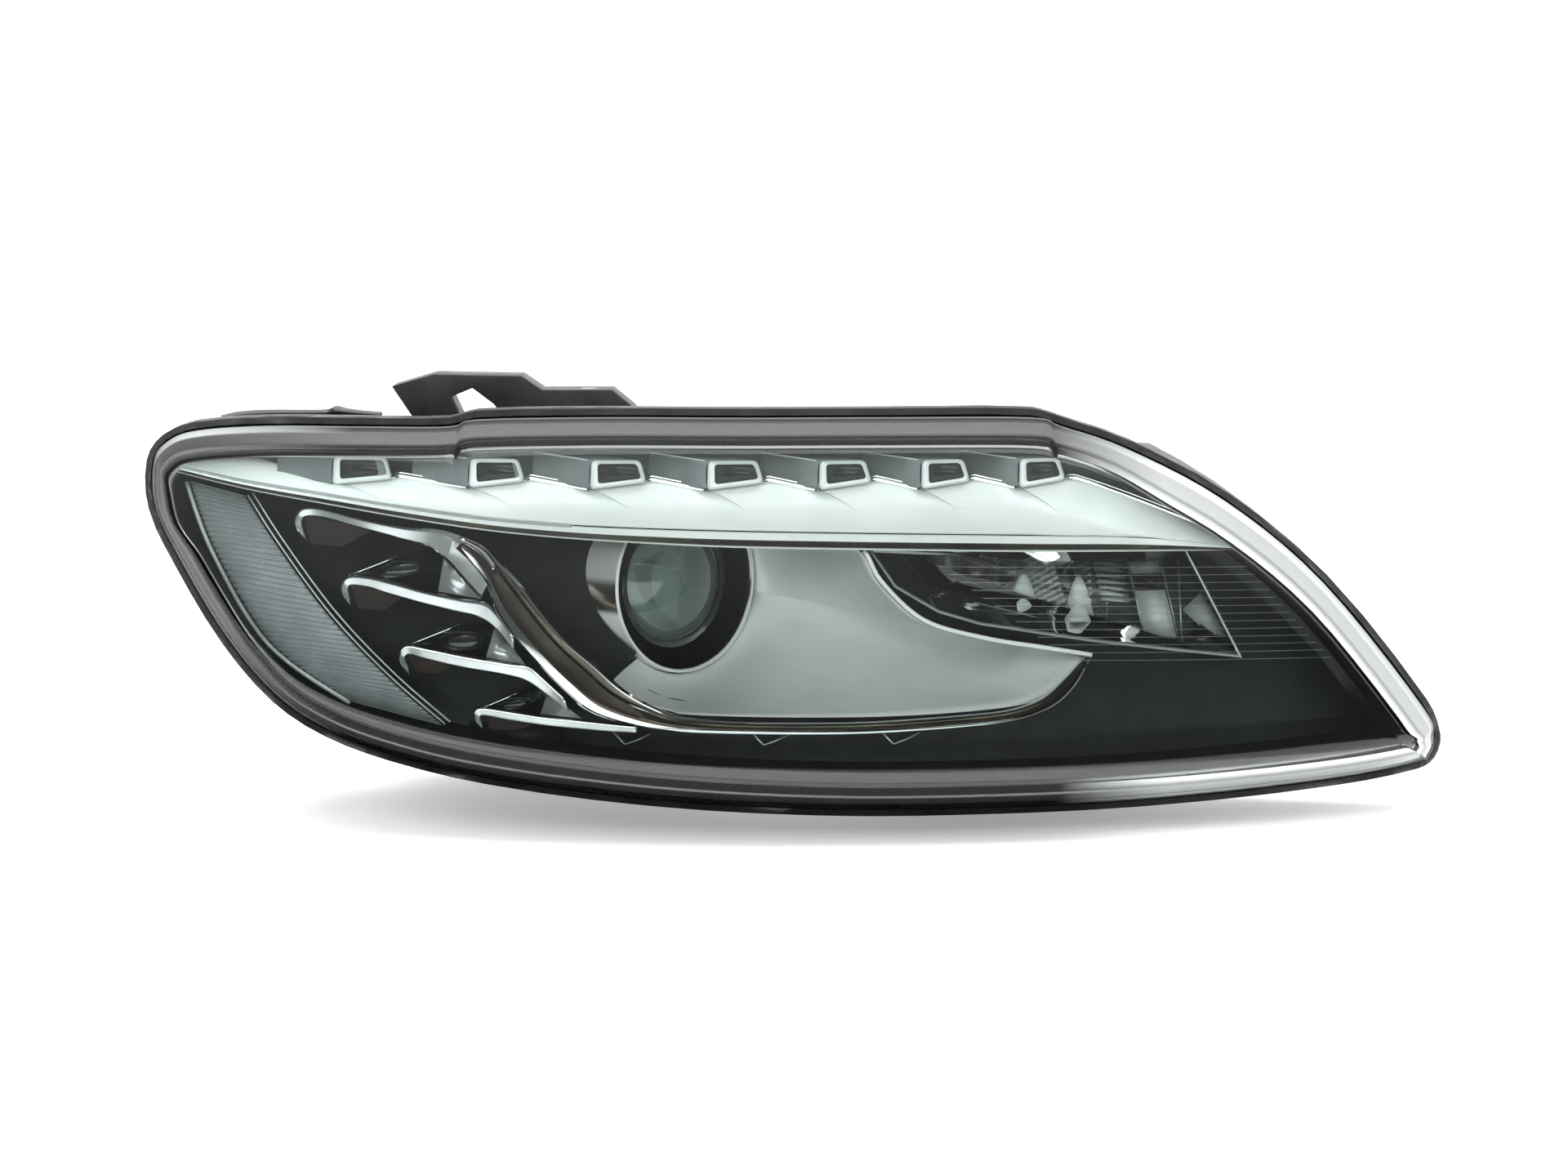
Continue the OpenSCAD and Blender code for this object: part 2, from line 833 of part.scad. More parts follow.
module ballast_gasket() {
  color("#0f0f10") corner() difference() {
    block([8, 70, -100], [82, 124, -98.1]);
    block([14, 76, -101], [76, 118, -97]);
  }
}

module ballast_screws() {
  color("#8e9193") corner() for (u = [-3, 93]) for (v = [73, 121])
    translate([u, v, -107]) cylinder(r = 2.6, h = 2.9);
}

module harness_socket() {
  color("#1a1b1d") optic() difference() {
    block([-10, rear_v + gap, -90], [34, rear_v + 24, -66]);
    block([-7, rear_v + 4, -87], [31, rear_v + 25, -69]);
    for (i = [0:5]) for (w = [-82, -74]) rod(0.9, rear_v - 1, rear_v + 6, -3 + i * 6, w);
  }
}

module socket_pins() {
  color("#c8a85a") optic() for (i = [0:5]) for (w = [-82, -74])
    rod(0.8, rear_v + 1, rear_v + 16, -3 + i * 6, w);
}

module vent_cap() {
  color("#18191a") vent_place() {
    cylinder(r = 3.9, h = 6);
    translate([0, 0, gap]) cylinder(r = 10, h = 6);
    translate([0, 0, 6]) cylinder(r1 = 10, r2 = 7, h = 3);
  }
}

// Frame on the slanted wall between the two ports, looking out along its own +Y.
module driver_place() {
  translate([-23, 32, -70]) rotate([0, 0, -30.96]) children();
}

module led_driver() {
  color("#a6a9ab") driver_place() difference() {
    block([-32, gap, -34], [32, 20, 30]);
    for (u = [-26:8:26]) block([u, 10, -40], [u + 4, 21, 40]);
  }
  color("#a6a9ab") driver_place() for (u = [-38, 32]) block([u, gap, -8], [u + 6, 4, 4]);
}

module led_driver_screws() {
  color("#8e9193") driver_place() for (u = [-35, 35]) translate([u, 4, -2]) rotate([-90, 0, 0])
    cylinder(r = 2.4, h = 2.6);
}

module upper_bracket() {
  color("#2a2c2e") difference() {
    translate([0, bracket_y[1], 0]) rotate([90, 0, 0]) linear_extrude(bracket_y[1] - bracket_y[0])
      polygon(bracket_points);
    translate([bracket_hole.x, bracket_hole.y, -30]) cylinder(r = 5 + run_gap, h = 60);
    translate([bracket_hole.x, bracket_hole.y, -30]) cylinder(r = 9, h = 42);
    block([-130, 8, -20], [-126, 32, 12]);
  }
  color("#2a2c2e") for (x = [[-226, -198], [-80, -58]]) block([x[0], 12, -15.9], [x[1], 28, -11.9]);
}

module bracket_screws() {
  color("#8e9193") for (x = [-218, -66]) translate([x, 20, -11.8]) cylinder(r = 4, h = 3.6);
}

module mount_sleeves() {
  color("#c0c2c4") {
    sleeve();
    translate(bracket_hole) sleeve();
    for (p = boss_holes) translate([p.x, p.y + 2, p.z]) rotate([90, 0, 0]) sleeve();
  }
}

module sleeve() {
  difference() {
    cylinder(r = 5, h = sleeve_l, center = true);
    cylinder(r = bolt_r, h = sleeve_l + 2, center = true);
  }
}

housing();
outer_lens();
lens_seal();
inner_bezel();
drl_reflector();
drl_pod_windows();
drl_leds();
drl_board();
chrome_strip();
turn_trim();
turn_windows();
turn_leds();
turn_board();
silver_panel();
corner_reflector();
corner_bulb();
corner_bulb_holder();
side_reflector();
projector_bezel();
projector_lens();
lens_holder();
lens_clip();
projector_reflector();
shutter_plate();
shutter_flap();
solenoid();
solenoid_plunger();
xenon_bulb();
igniter();
bulb_retainer();
support_frame();
pivot_stud();
pivot_cup();
swivel_motor();
swivel_pinion();
swivel_sector();
level_motor();
level_rod();
level_adjuster();
aim_screw();
aim_nut();
ballast();
ballast_gasket();
ballast_screws();
bulb_cap();
bulb_cap_seal();
corner_cap();
corner_cap_seal();
harness_socket();
socket_pins();
vent_cap();
led_driver();
led_driver_screws();
upper_bracket();
bracket_screws();
mount_sleeves();
top_seal_strip();
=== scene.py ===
import json
import math

import bmesh
import bpy
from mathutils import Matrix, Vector
from mathutils.geometry import delaunay_2d_cdt


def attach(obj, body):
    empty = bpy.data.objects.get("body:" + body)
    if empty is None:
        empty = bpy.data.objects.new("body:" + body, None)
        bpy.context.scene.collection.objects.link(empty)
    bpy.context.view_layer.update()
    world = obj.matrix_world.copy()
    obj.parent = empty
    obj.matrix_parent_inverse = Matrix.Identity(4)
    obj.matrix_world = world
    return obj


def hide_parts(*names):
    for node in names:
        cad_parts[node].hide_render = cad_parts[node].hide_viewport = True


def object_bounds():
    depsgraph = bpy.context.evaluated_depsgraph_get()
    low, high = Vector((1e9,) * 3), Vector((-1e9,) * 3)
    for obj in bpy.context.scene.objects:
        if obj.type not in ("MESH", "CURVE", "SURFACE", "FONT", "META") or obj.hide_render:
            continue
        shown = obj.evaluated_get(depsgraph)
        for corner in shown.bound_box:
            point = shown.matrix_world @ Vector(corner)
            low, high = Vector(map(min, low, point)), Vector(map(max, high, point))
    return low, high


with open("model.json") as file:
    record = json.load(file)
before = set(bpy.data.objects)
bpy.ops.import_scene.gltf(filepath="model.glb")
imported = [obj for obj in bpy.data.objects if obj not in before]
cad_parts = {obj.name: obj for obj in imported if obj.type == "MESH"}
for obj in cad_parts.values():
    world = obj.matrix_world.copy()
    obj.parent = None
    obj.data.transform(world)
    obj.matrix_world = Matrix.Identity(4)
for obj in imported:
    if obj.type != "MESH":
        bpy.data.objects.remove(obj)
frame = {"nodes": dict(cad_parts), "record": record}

CAD_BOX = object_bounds()
BODY = "lamp"
LENS_R = 0.760
LENS_C = Vector((-0.020, 0.590, -0.232))
LAMP_POS = Vector((-0.055, -0.078, -0.084))
HEADING = math.radians(42)
ACROSS = Vector((math.cos(HEADING), math.sin(HEADING), 0))
BACK = Vector((-math.sin(HEADING), math.cos(HEADING), 0))
UP = Vector((0, 0, 1))
RING_R = 52.9  # outer radius of the projector's ring, in millimetres
VIEW_TARGET = Vector((0, -0.100, -0.085))
VIEW_AWAY = 2.5
VIEW_LIFT = math.radians(6)
FLOOR_GAP = 0.008

RIM = [
    (-359, -22), (-351, -10), (-333, -3), (-290, 1), (-233, 2), (-186, 3), (-170, 7),
    (-100, 9), (-27, 9), (60, 9), (137, 8), (154, 3), (191, -10), (247, -40),
    (304, -87), (364, -160), (372, -179), (369, -189), (361, -193), (314, -198),
    (200, -203), (99, -204), (18, -203), (-72, -198), (-162, -188), (-217, -177),
    (-254, -165), (-283, -148), (-312, -118), (-341, -76), (-357, -47),
]
SPINE = [(-296, -72), (-150, -86), (0, -97), (200, -112), (300, -145), (343, -172)]


# ---------- Geometry helpers ----------

def on_face(x, z, depth):
    """The point at x, z millimetres that is depth millimetres behind the lens's face."""
    px, pz, r = x / 1000, z / 1000, LENS_R - depth / 1000
    y = LENS_C.y - math.sqrt(r * r - (px - LENS_C.x) ** 2 - (pz - LENS_C.z) ** 2)
    return Vector((px, y, pz))


def optic(u, v, w):
    """A point in the projector's own frame, in millimetres."""
    return LAMP_POS + (ACROSS * u + BACK * v + UP * w) / 1000


def smooth_path(points, steps, closed=False):
    """Points along a smooth curve through tuples of any length."""
    n = len(points)
    out = []
    for i in range(n if closed else n - 1):
        quad = [points[(i + k) % n] if closed else points[min(max(i + k, 0), n - 1)] for k in (-1, 0, 1, 2)]
        for k in range(steps):
            out.append(catmull(quad, k / steps))
    if not closed:
        out.append(tuple(points[-1]))
    return out


def catmull(quad, s):
    a, b, c, d = quad
    return tuple(
        0.5 * (2 * q + (r - p) * s + (2 * p - 5 * q + 4 * r - t) * s * s + (3 * q - p - 3 * r + t) * s ** 3)
        for p, q, r, t in zip(a, b, c, d)
    )


def lerp(a, b, t):
    """The number a share t of the way from a to b."""
    return a + (b - a) * t


def ease(t):
    """Goes from 0 to 1 with t, slowly at both ends."""
    t = min(max(t, 0), 1)
    return t * t * (3 - 2 * t)


def table(points, x):
    """Straight-line interpolation in a list of (x, value)."""
    if x <= points[0][0]:
        return points[0][1]
    for (x0, v0), (x1, v1) in zip(points, points[1:]):
        if x <= x1:
            return lerp(v0, v1, (x - x0) / (x1 - x0))
    return points[-1][1]


def piece(name, verts, faces, look, nodes=(), body=BODY, slot="black_plastic", crisp=35, parts=None):
    """A mesh object that rides on a body and stands for the given CAD nodes; look names its materials."""
    mesh = bpy.data.meshes.new(name)
    mesh.from_pydata([tuple(v) for v in verts], [], faces)
    if parts:
        mesh.polygons.foreach_set("material_index", parts)
    mesh.validate()
    obj = bpy.data.objects.new(name, mesh)
    bpy.context.scene.collection.objects.link(obj)
    for m in look.split():
        mesh.materials.append(LOOKS[m])
    if crisp:
        mesh.shade_smooth()
        mesh.set_sharp_from_angle(angle=math.radians(crisp))
    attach(obj, body)
    if nodes:
        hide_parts(*nodes)
    return obj


class Net:
    """Collects vertices and faces of one piece."""

    def __init__(self):
        self.verts = []
        self.faces = []
        self.parts = []

    def grid(self, rows, wrap=False, part=0, flip=False):
        """Adds quads over rows of points; wrap joins each row's ends, part may be one number per column."""
        base = len(self.verts)
        w = len(rows[0])
        for row in rows:
            self.verts.extend(row)
        for j in range(len(rows) - 1):
            for i in range(w if wrap else w - 1):
                k = (i + 1) % w
                q = [base + j * w + i, base + j * w + k, base + (j + 1) * w + k, base + (j + 1) * w + i]
                self.faces.append(q[::-1] if flip else q)
                self.parts.append(part[i] if isinstance(part, list) else part)

    def slab(self, front, back):
        """Closes two sheets of points into one solid."""
        self.grid(front)
        self.grid(back, flip=True)
        self.seal(front, back)

    def seal(self, front, back):
        """Adds the four edges between two sheets of points."""
        for i in (0, -1):
            self.grid([front[i], back[i]])
        for i in (0, -1):
            self.grid([[r[i] for r in front], [r[i] for r in back]])

    def fan(self, ring, part=0, flip=False):
        """Closes a ring of points with one face."""
        base = len(self.verts)
        self.verts.extend(ring)
        f = list(range(base, base + len(ring)))
        self.faces.append(f[::-1] if flip else f)
        self.parts.append(part)

    def fill(self, ring):
        """Closes a ring of points with triangles between neighbours, as seen from the front."""
        flat = [Vector((p.x, p.z)) for p in ring]
        _, _, faces, origin, _, _ = delaunay_2d_cdt(flat, [], [list(range(len(flat)))], 1, 1e-7)
        base = len(self.verts)
        self.verts.extend(ring)
        for f in faces:
            self.faces.append([base + origin[i][0] for i in f])
            self.parts.append(0)

    def tube(self, rings, part=0):
        """A closed tube through rings of points, with both ends capped."""
        self.grid(rings, wrap=True, part=part)
        end = part[0] if isinstance(part, list) else part
        self.fan(rings[0], part=end, flip=False)
        self.fan(rings[-1], part=end, flip=True)

    def make(self, name, look, **facts):
        obj = piece(name, self.verts, self.faces, look, parts=self.parts, **facts)
        weld(obj)
        return obj


def moved_back(rows, distance):
    """The same sheet of points, a distance in metres further back."""
    return [[p + Vector((0, distance, 0)) for p in row] for row in rows]


def weld(obj):
    """Merges doubled points and makes the faces point outwards."""
    bm = bmesh.new()
    bm.from_mesh(obj.data)
    bmesh.ops.remove_doubles(bm, verts=bm.verts, dist=1e-6)
    bmesh.ops.recalc_face_normals(bm, faces=bm.faces)
    bm.to_mesh(obj.data)
    bm.free()


def sweep(net, path, section, part=0):
    """Sweeps a section along a path of (x, z, depth, half width, rise) that follows the lens's face.

    The section lists (across, out) where across is in half widths and out in rises.
    """
    pts = [on_face(p[0], p[1], p[2]) for p in path]
    rings = []
    for i, p in enumerate(path):
        a, b = pts[max(i - 1, 0)], pts[min(i + 1, len(pts) - 1)]
        along = (b - a).normalized()
        out = (pts[i] - LENS_C).normalized()
        side = along.cross(out).normalized()
        rings.append([pts[i] + side * (s * p[3] / 1000) + out * (o * p[4] / 1000) for s, o in section])
    net.tube(rings, part=part)


def loft(net, pairs, depth, section, steps=5):
    """Spans a section between the upper and lower edges of a form that follows the lens's face.

    Each pair holds x, z of the upper edge and x, z of the lower one; the section lists
    (share of the way down, height in millimetres, material part).
    """
    rings = []
    for xa, za, xb, zb in smooth_path(pairs, steps):
        rings.append([on_face(lerp(xa, xb, t), lerp(za, zb, t), depth - h) for t, h, _ in section])
    net.tube(rings, part=[p for _, _, p in section])


def facet(net, corners, thick=1.2, part=0):
    """A flat plate through points given as (x, z, depth)."""
    front = [on_face(*c) for c in corners]
    net.tube([front, [p + Vector((0, thick / 1000, 0)) for p in front]], part=part)


def circle(sides, radius=1):
    """Points round a circle."""
    turns = [2 * math.pi * k / sides for k in range(sides)]
    return [(radius * math.cos(a), radius * math.sin(a)) for a in turns]


def wire(net, points, radius, sides=8, part=0):
    """A round wire through (x, z, depth) points."""
    sweep(net, [(x, z, d, radius, radius) for x, z, d in points], circle(sides), part=part)


def round_corners(points, r, n=5):
    """Rounds the corners of an outline by about r."""
    out = []
    for i, p in enumerate(points):
        a, b = points[i - 1], points[(i + 1) % len(points)]
        ua, ub = unit2(a[0] - p[0], a[1] - p[1]), unit2(b[0] - p[0], b[1] - p[1])
        for k in range(n + 1):
            t = k / n
            wa, wb = r * (1 - t) ** 2, r * t * t
            out.append((p[0] + ua[0] * wa + ub[0] * wb, p[1] + ua[1] * wa + ub[1] * wb))
    return out


def box_mesh(net, corners):
    """A box from eight points: four of the front, then four of the back."""
    base = len(net.verts)
    net.verts.extend(corners)
    for f in ((0, 1, 2, 3), (7, 6, 5, 4), (0, 4, 5, 1), (1, 5, 6, 2), (2, 6, 7, 3), (3, 7, 4, 0)):
        net.faces.append([base + i for i in f])
        net.parts.append(0)


def prism_cutter(points, d0, d1):
    """A closed prism that follows the lens's face between two depths, used to cut other pieces."""
    net = Net()
    front = [on_face(x, z, d0) for x, z in points]
    back = [on_face(x, z, d1) for x, z in points]
    net.tube([front, back])
    return net


def cut(obj, nets):
    """Cuts closed nets out of an object, and applies the result."""
    for net in nets:
        mesh = bpy.data.meshes.new("cutter")
        mesh.from_pydata([tuple(v) for v in net.verts], [], net.faces)
        cutter = bpy.data.objects.new("cutter", mesh)
        bpy.context.scene.collection.objects.link(cutter)
        weld(cutter)
        mod = obj.modifiers.new("cut", "BOOLEAN")
        mod.operation = "DIFFERENCE"
        mod.solver = "EXACT"
        mod.object = cutter
        bpy.context.view_layer.update()
        done = bpy.data.meshes.new_from_object(obj.evaluated_get(bpy.context.evaluated_depsgraph_get()))
        obj.modifiers.remove(mod)
        obj.data = done
        bpy.data.objects.remove(cutter)
    obj.data.set_sharp_from_angle(angle=math.radians(35))


# ---------- Materials ----------

def shader(name):
    """A new material with its node tree, principled shader and output."""
    mat = bpy.data.materials.new(name)
    mat.use_nodes = True
    nt = mat.node_tree
    return mat, nt, nt.nodes["Principled BSDF"], nt.nodes["Material Output"]


def node(nt, kind, **values):
    """A new shader node with some of its inputs set; an underscore stands for a space."""
    new = nt.nodes.new("ShaderNode" + kind)
    for name, value in values.items():
        new.inputs[name.replace("_", " ")].default_value = value
    return new


def noise(nt, scale, detail=3.0):
    """A noise texture in object space, in features per metre."""
    coord = node(nt, "TexCoord")
    tex = node(nt, "TexNoise", Scale=scale, Detail=detail)
    nt.links.new(coord.outputs["Object"], tex.inputs["Vector"])
    return tex.outputs["Fac"]


def ramp(nt, fac, low, high, start=0.3, end=0.7):
    """A colour that goes from low to high as fac goes from start to end."""
    made = node(nt, "ValToRGB")
    made.color_ramp.elements[0].position = start
    made.color_ramp.elements[1].position = end
    made.color_ramp.elements[0].color = (*low, 1)
    made.color_ramp.elements[1].color = (*high, 1)
    nt.links.new(fac, made.inputs["Fac"])
    return made.outputs["Color"]


def spread(nt, fac, low, high):
    """Maps the middle of fac's range to low..high."""
    return stretch_between(nt, fac, 0.3, 0.7, low, high)


def bump(nt, bsdf, height, strength, distance):
    """Feeds a height into a shader's normal."""
    tilt = node(nt, "Bump", Strength=strength, Distance=distance)
    nt.links.new(height, tilt.inputs["Height"])
    nt.links.new(tilt.outputs["Normal"], bsdf.inputs["Normal"])


def solid(name, dark, light, rough, metallic=0.0, tint_scale=60, grain=900, grain_depth=0.00003,
          strength=0.5, coat=0.0, specular=0.5):
    """An opaque material whose colour and roughness vary a little, with a fine grain."""
    mat, nt, bsdf, _ = shader(name)
    tint = noise(nt, tint_scale, 4)
    nt.links.new(ramp(nt, tint, dark, light), bsdf.inputs["Base Color"])
    nt.links.new(spread(nt, noise(nt, tint_scale * 2.3, 3), rough * 0.85, rough * 1.18),
                 bsdf.inputs["Roughness"])
    bsdf.inputs["Metallic"].default_value = metallic
    bsdf.inputs["Coat Weight"].default_value = coat
    bsdf.inputs["Coat Roughness"].default_value = 0.06
    bsdf.inputs["Specular IOR Level"].default_value = specular
    bump(nt, bsdf, noise(nt, grain, 2), strength, grain_depth)
    return mat


def clear(name, tint, rough=0.02, ior=1.5, body=None, amount=0.0):
    """A clear material: tinted see-through with a mirror-like skin, and a share of solid body."""
    mat, nt, bsdf, out = shader(name)
    nt.nodes.remove(bsdf)
    see = node(nt, "BsdfTransparent")
    tone = tuple(min(1.0, c * 1.02) for c in tint)
    nt.links.new(ramp(nt, noise(nt, 25, 2), tint, tone), see.inputs["Color"])
    skin = node(nt, "BsdfGlossy", Roughness=rough, Color=(1, 1, 1, 1))
    fresnel = node(nt, "Fresnel", IOR=ior)
    mix = node(nt, "MixShader")
    nt.links.new(fresnel.outputs["Fac"], mix.inputs["Fac"])
    nt.links.new(skin.outputs["BSDF"], mix.inputs[2])
    inner = see.outputs["BSDF"]
    if body:
        milk = node(nt, "BsdfDiffuse", Color=(*body, 1))
        blend = node(nt, "MixShader", Fac=amount)
        nt.links.new(inner, blend.inputs[1])
        nt.links.new(milk.outputs["BSDF"], blend.inputs[2])
        inner = blend.outputs["Shader"]
    nt.links.new(inner, mix.inputs[1])
    nt.links.new(mix.outputs["Shader"], out.inputs["Surface"])
    return mat


def stretch_between(nt, value, start, end, low, high):
    """Maps value from start..end to low..high, and holds it at both ends."""
    span = node(nt, "MapRange", From_Min=start, From_Max=end, To_Min=low, To_Max=high)
    nt.links.new(value, span.inputs["Value"])
    return span.outputs["Result"]


def larger(nt, a, b):
    """The larger of two numbers."""
    made = node(nt, "Math")
    made.operation = "MAXIMUM"
    nt.links.new(a, made.inputs[0])
    nt.links.new(b, made.inputs[1])
    return made.outputs["Value"]


def axes(nt, space):
    """The coordinates of a space, whole and split into X, Y and Z."""
    coord = node(nt, "TexCoord").outputs[space]
    split = node(nt, "SeparateXYZ")
    nt.links.new(coord, split.inputs["Vector"])
    return coord, split


def ring_look():
    """Chrome with a painted reflection: bright at the bottom, dark and brownish across its middle, and paler
    again at the top.
    """
    # The dark brownish base colour is the painted dark reflection.
    mat = solid("ring_chrome", (0.06, 0.045, 0.035), (0.20, 0.15, 0.11), 0.10, metallic=0.8, tint_scale=45,
                grain=150, grain_depth=0.00001, strength=0.1)
    nt = mat.node_tree
    bsdf = nt.nodes["Principled BSDF"]
    dark_reflection_paint = bsdf.inputs["Base Color"].links[0].from_socket
    _, split = axes(nt, "Object")
    # Object height sets the painted reflection; where it is bright the chrome is also less metallic.
    height = stretch_between(nt, split.outputs["Z"], -0.14, -0.05, 0.0, 1.0)
    low = curve(nt, height, [(0.0, 1.0), (0.44, 1.0), (0.50, 0.05), (0.60, 0.10), (0.68, 0.62),
                             (0.86, 0.70), (1.0, 0.35)])
    mix = node(nt, "Mix")
    mix.data_type = "RGBA"
    nt.links.new(low, mix.inputs["Factor"])
    nt.links.new(dark_reflection_paint, mix.inputs["A"])
    # Painted bright reflection on the ring's lower part, and less of it near the top.
    mix.inputs["B"].default_value = (0.86, 0.88, 0.88, 1)
    nt.links.new(mix.outputs["Result"], bsdf.inputs["Base Color"])
    nt.links.new(spread(nt, low, 0.85, 0.15), bsdf.inputs["Metallic"])
    return mat


def curve(nt, value, points):
    """A number that follows (position, level) points as value goes from 0 to 1."""
    made = node(nt, "ValToRGB")
    elements = made.color_ramp.elements
    while len(elements) < len(points):
        elements.new(0.5)
    for element, (place, level) in zip(elements, points):
        element.position = place
        element.color = (level, level, level, 1)
    nt.links.new(value, made.inputs["Fac"])
    return made.outputs["Color"]


def blend_numbers(nt, share, low, high):
    """The number a share of the way from low to high; each is a socket or a float."""
    made = node(nt, "Mix")
    nt.links.new(share, made.inputs["Factor"])
    for socket, source in (("A", low), ("B", high)):
        if isinstance(source, float):
            made.inputs[socket].default_value = source
        else:
            nt.links.new(source, made.inputs[socket])
    return made.outputs["Result"]


def skirt_look():
    """The lens's skirt, partly its own pale plastic and partly painted light: smoky along the roof, dark
    along the floor, milky inboard, a painted white highlight line outboard, and its reflection painted
    weaker along the floor.
    """
    mat = clear("pale_skirt", (0.80, 0.84, 0.83), rough=0.06, body=(0.88, 0.92, 0.91), amount=0.1)
    nt = mat.node_tree
    blend = next(n for n in nt.nodes
                 if n.bl_idname == "ShaderNodeMixShader" and not n.inputs["Fac"].is_linked)
    coord, split = axes(nt, "Object")
    away = node(nt, "VectorMath")
    away.operation = "DISTANCE"
    away.inputs[1].default_value = LENS_C
    nt.links.new(coord, away.inputs[0])
    depth = stretch_between(nt, away.outputs["Value"], LENS_R, LENS_R - 0.042, 0.0, 1.0)
    # The milky share along each side changes with depth; its peaks are painted highlight lines and its dips
    # painted shade.
    roof = curve(nt, depth, [(0.0, 0.01), (0.10, 0.02), (0.20, 0.13), (0.66, 0.11), (0.76, 0.05),
                             (0.86, 0.50), (0.97, 0.42)])
    ground = curve(nt, depth, [(0.0, 0.02), (0.10, 0.02), (0.16, 0.26), (0.24, 0.02), (0.70, 0.01),
                               (0.80, 0.05), (0.97, 0.02)])
    left = curve(nt, depth, [(0.0, 0.02), (0.08, 0.16), (0.16, 0.04), (0.52, 0.05), (0.62, 0.72),
                             (0.88, 0.72), (0.96, 0.10)])
    right = curve(nt, depth, [(0.0, 0.75), (0.10, 0.22), (0.18, 0.42), (0.55, 0.36), (0.62, 0.90),
                              (0.92, 0.80), (0.97, 0.25)])
    low = stretch_between(nt, split.outputs["Z"], -0.10, -0.15, 0.0, 1.0)
    outboard = stretch_between(nt, split.outputs["X"], -0.24, -0.33, 0.0, 1.0)
    inboard = stretch_between(nt, split.outputs["X"], 0.15, 0.21, 0.0, 1.0)
    amount = blend_numbers(nt, outboard, blend_numbers(nt, low, roof, ground), left)
    nt.links.new(blend_numbers(nt, inboard, amount, right), blend.inputs["Fac"])
    skin = next(n for n in nt.nodes if n.type == "BSDF_GLOSSY")
    # The skin's reflection is painted dim along the floor and bright inboard.
    nt.links.new(blend_numbers(nt, inboard, blend_numbers(nt, low, 0.20, 0.06), 0.6), skin.inputs["Color"])
    return mat


# Opaque materials: (darkest colour, lightest colour, roughness, the rest)
SOLIDS = {
    "black_plastic": ((0.010, 0.011, 0.012), (0.020, 0.021, 0.023), 0.46, dict(grain=1400, strength=0.15)),
    "black_rubber": ((0.006, 0.006, 0.007), (0.016, 0.016, 0.017), 0.55, dict(grain=2200)),
    "grained_bezel": ((0.005, 0.006, 0.006), (0.010, 0.011, 0.012), 0.36,
                      dict(grain=1100, grain_depth=0.00012, strength=0.35, specular=0.3)),
    "piano_black": ((0.004, 0.005, 0.005), (0.007, 0.008, 0.009), 0.12,
                    dict(grain=200, grain_depth=0.00001, coat=0.6)),
    "silver_trim": ((0.82, 0.86, 0.85), (0.86, 0.89, 0.88), 0.36,
                    dict(metallic=0.12, grain=2500, grain_depth=0.000006, strength=0.08)),
    # Silver darkened to grey: painted shade for recessed and shaded faces.
    "recess_grey": ((0.19, 0.22, 0.22), (0.23, 0.26, 0.26), 0.36, dict(metallic=0.25, grain=1800)),
    "panel_silver": ((0.66, 0.70, 0.69), (0.71, 0.74, 0.73), 0.40,
                     dict(metallic=0.20, grain=2600, grain_depth=0.000006, strength=0.1)),
    "satin_chrome": ((0.50, 0.53, 0.53), (0.74, 0.77, 0.77), 0.20,
                     dict(metallic=0.7, tint_scale=34, grain=300, grain_depth=0.000008, strength=0.1)),
    # Olive and brown chromes: painted dark reflections on chosen faces of chrome parts.
    "olive_chrome": ((0.060, 0.056, 0.045), (0.16, 0.15, 0.115), 0.16,
                     dict(metallic=0.8, tint_scale=26, grain=200, grain_depth=0.00001, strength=0.1)),
    "brown_chrome": ((0.045, 0.035, 0.028), (0.150, 0.115, 0.088), 0.14,
                     dict(metallic=0.8, tint_scale=30, grain=200, grain_depth=0.00001, strength=0.1)),
    "chrome_trim": ((0.78, 0.80, 0.80), (0.84, 0.86, 0.86), 0.05,
                    dict(metallic=1.0, grain=90, grain_depth=0.00002, strength=0.25)),
    "mirror_coat": ((0.80, 0.82, 0.82), (0.90, 0.91, 0.91), 0.13,
                    dict(metallic=0.72, grain=120, grain_depth=0.00002, strength=0.2)),
    "corner_coat": ((0.26, 0.28, 0.28), (0.46, 0.48, 0.48), 0.24,
                    dict(metallic=0.8, tint_scale=22, grain=120, grain_depth=0.00001, strength=0.1)),
    "steel": ((0.38, 0.39, 0.40), (0.52, 0.53, 0.54), 0.32,
              dict(metallic=1.0, grain=1500, grain_depth=0.00002)),
    "cast_metal": ((0.40, 0.41, 0.42), (0.52, 0.53, 0.54), 0.48,
                   dict(metallic=0.9, grain=800, grain_depth=0.0001)),
    "white_nylon": ((0.66, 0.63, 0.55), (0.74, 0.71, 0.63), 0.45, dict(grain=900)),
    "circuit_board": ((0.015, 0.08, 0.045), (0.03, 0.12, 0.06), 0.3, dict(grain=600)),
    "led_chip": ((0.62, 0.55, 0.22), (0.78, 0.72, 0.36), 0.2, dict(grain=500)),
    "contact_brass": ((0.60, 0.45, 0.18), (0.72, 0.56, 0.26), 0.25, dict(metallic=1.0, grain=700)),
    "bracket_paint": ((0.010, 0.011, 0.013), (0.020, 0.022, 0.024), 0.46,
                      dict(grain=1300, grain_depth=0.00006)),
    "clear_reflector": ((0.40, 0.44, 0.44), (0.50, 0.54, 0.54), 0.20,
                        dict(metallic=0.30, grain=300, grain_depth=0.00002)),
}
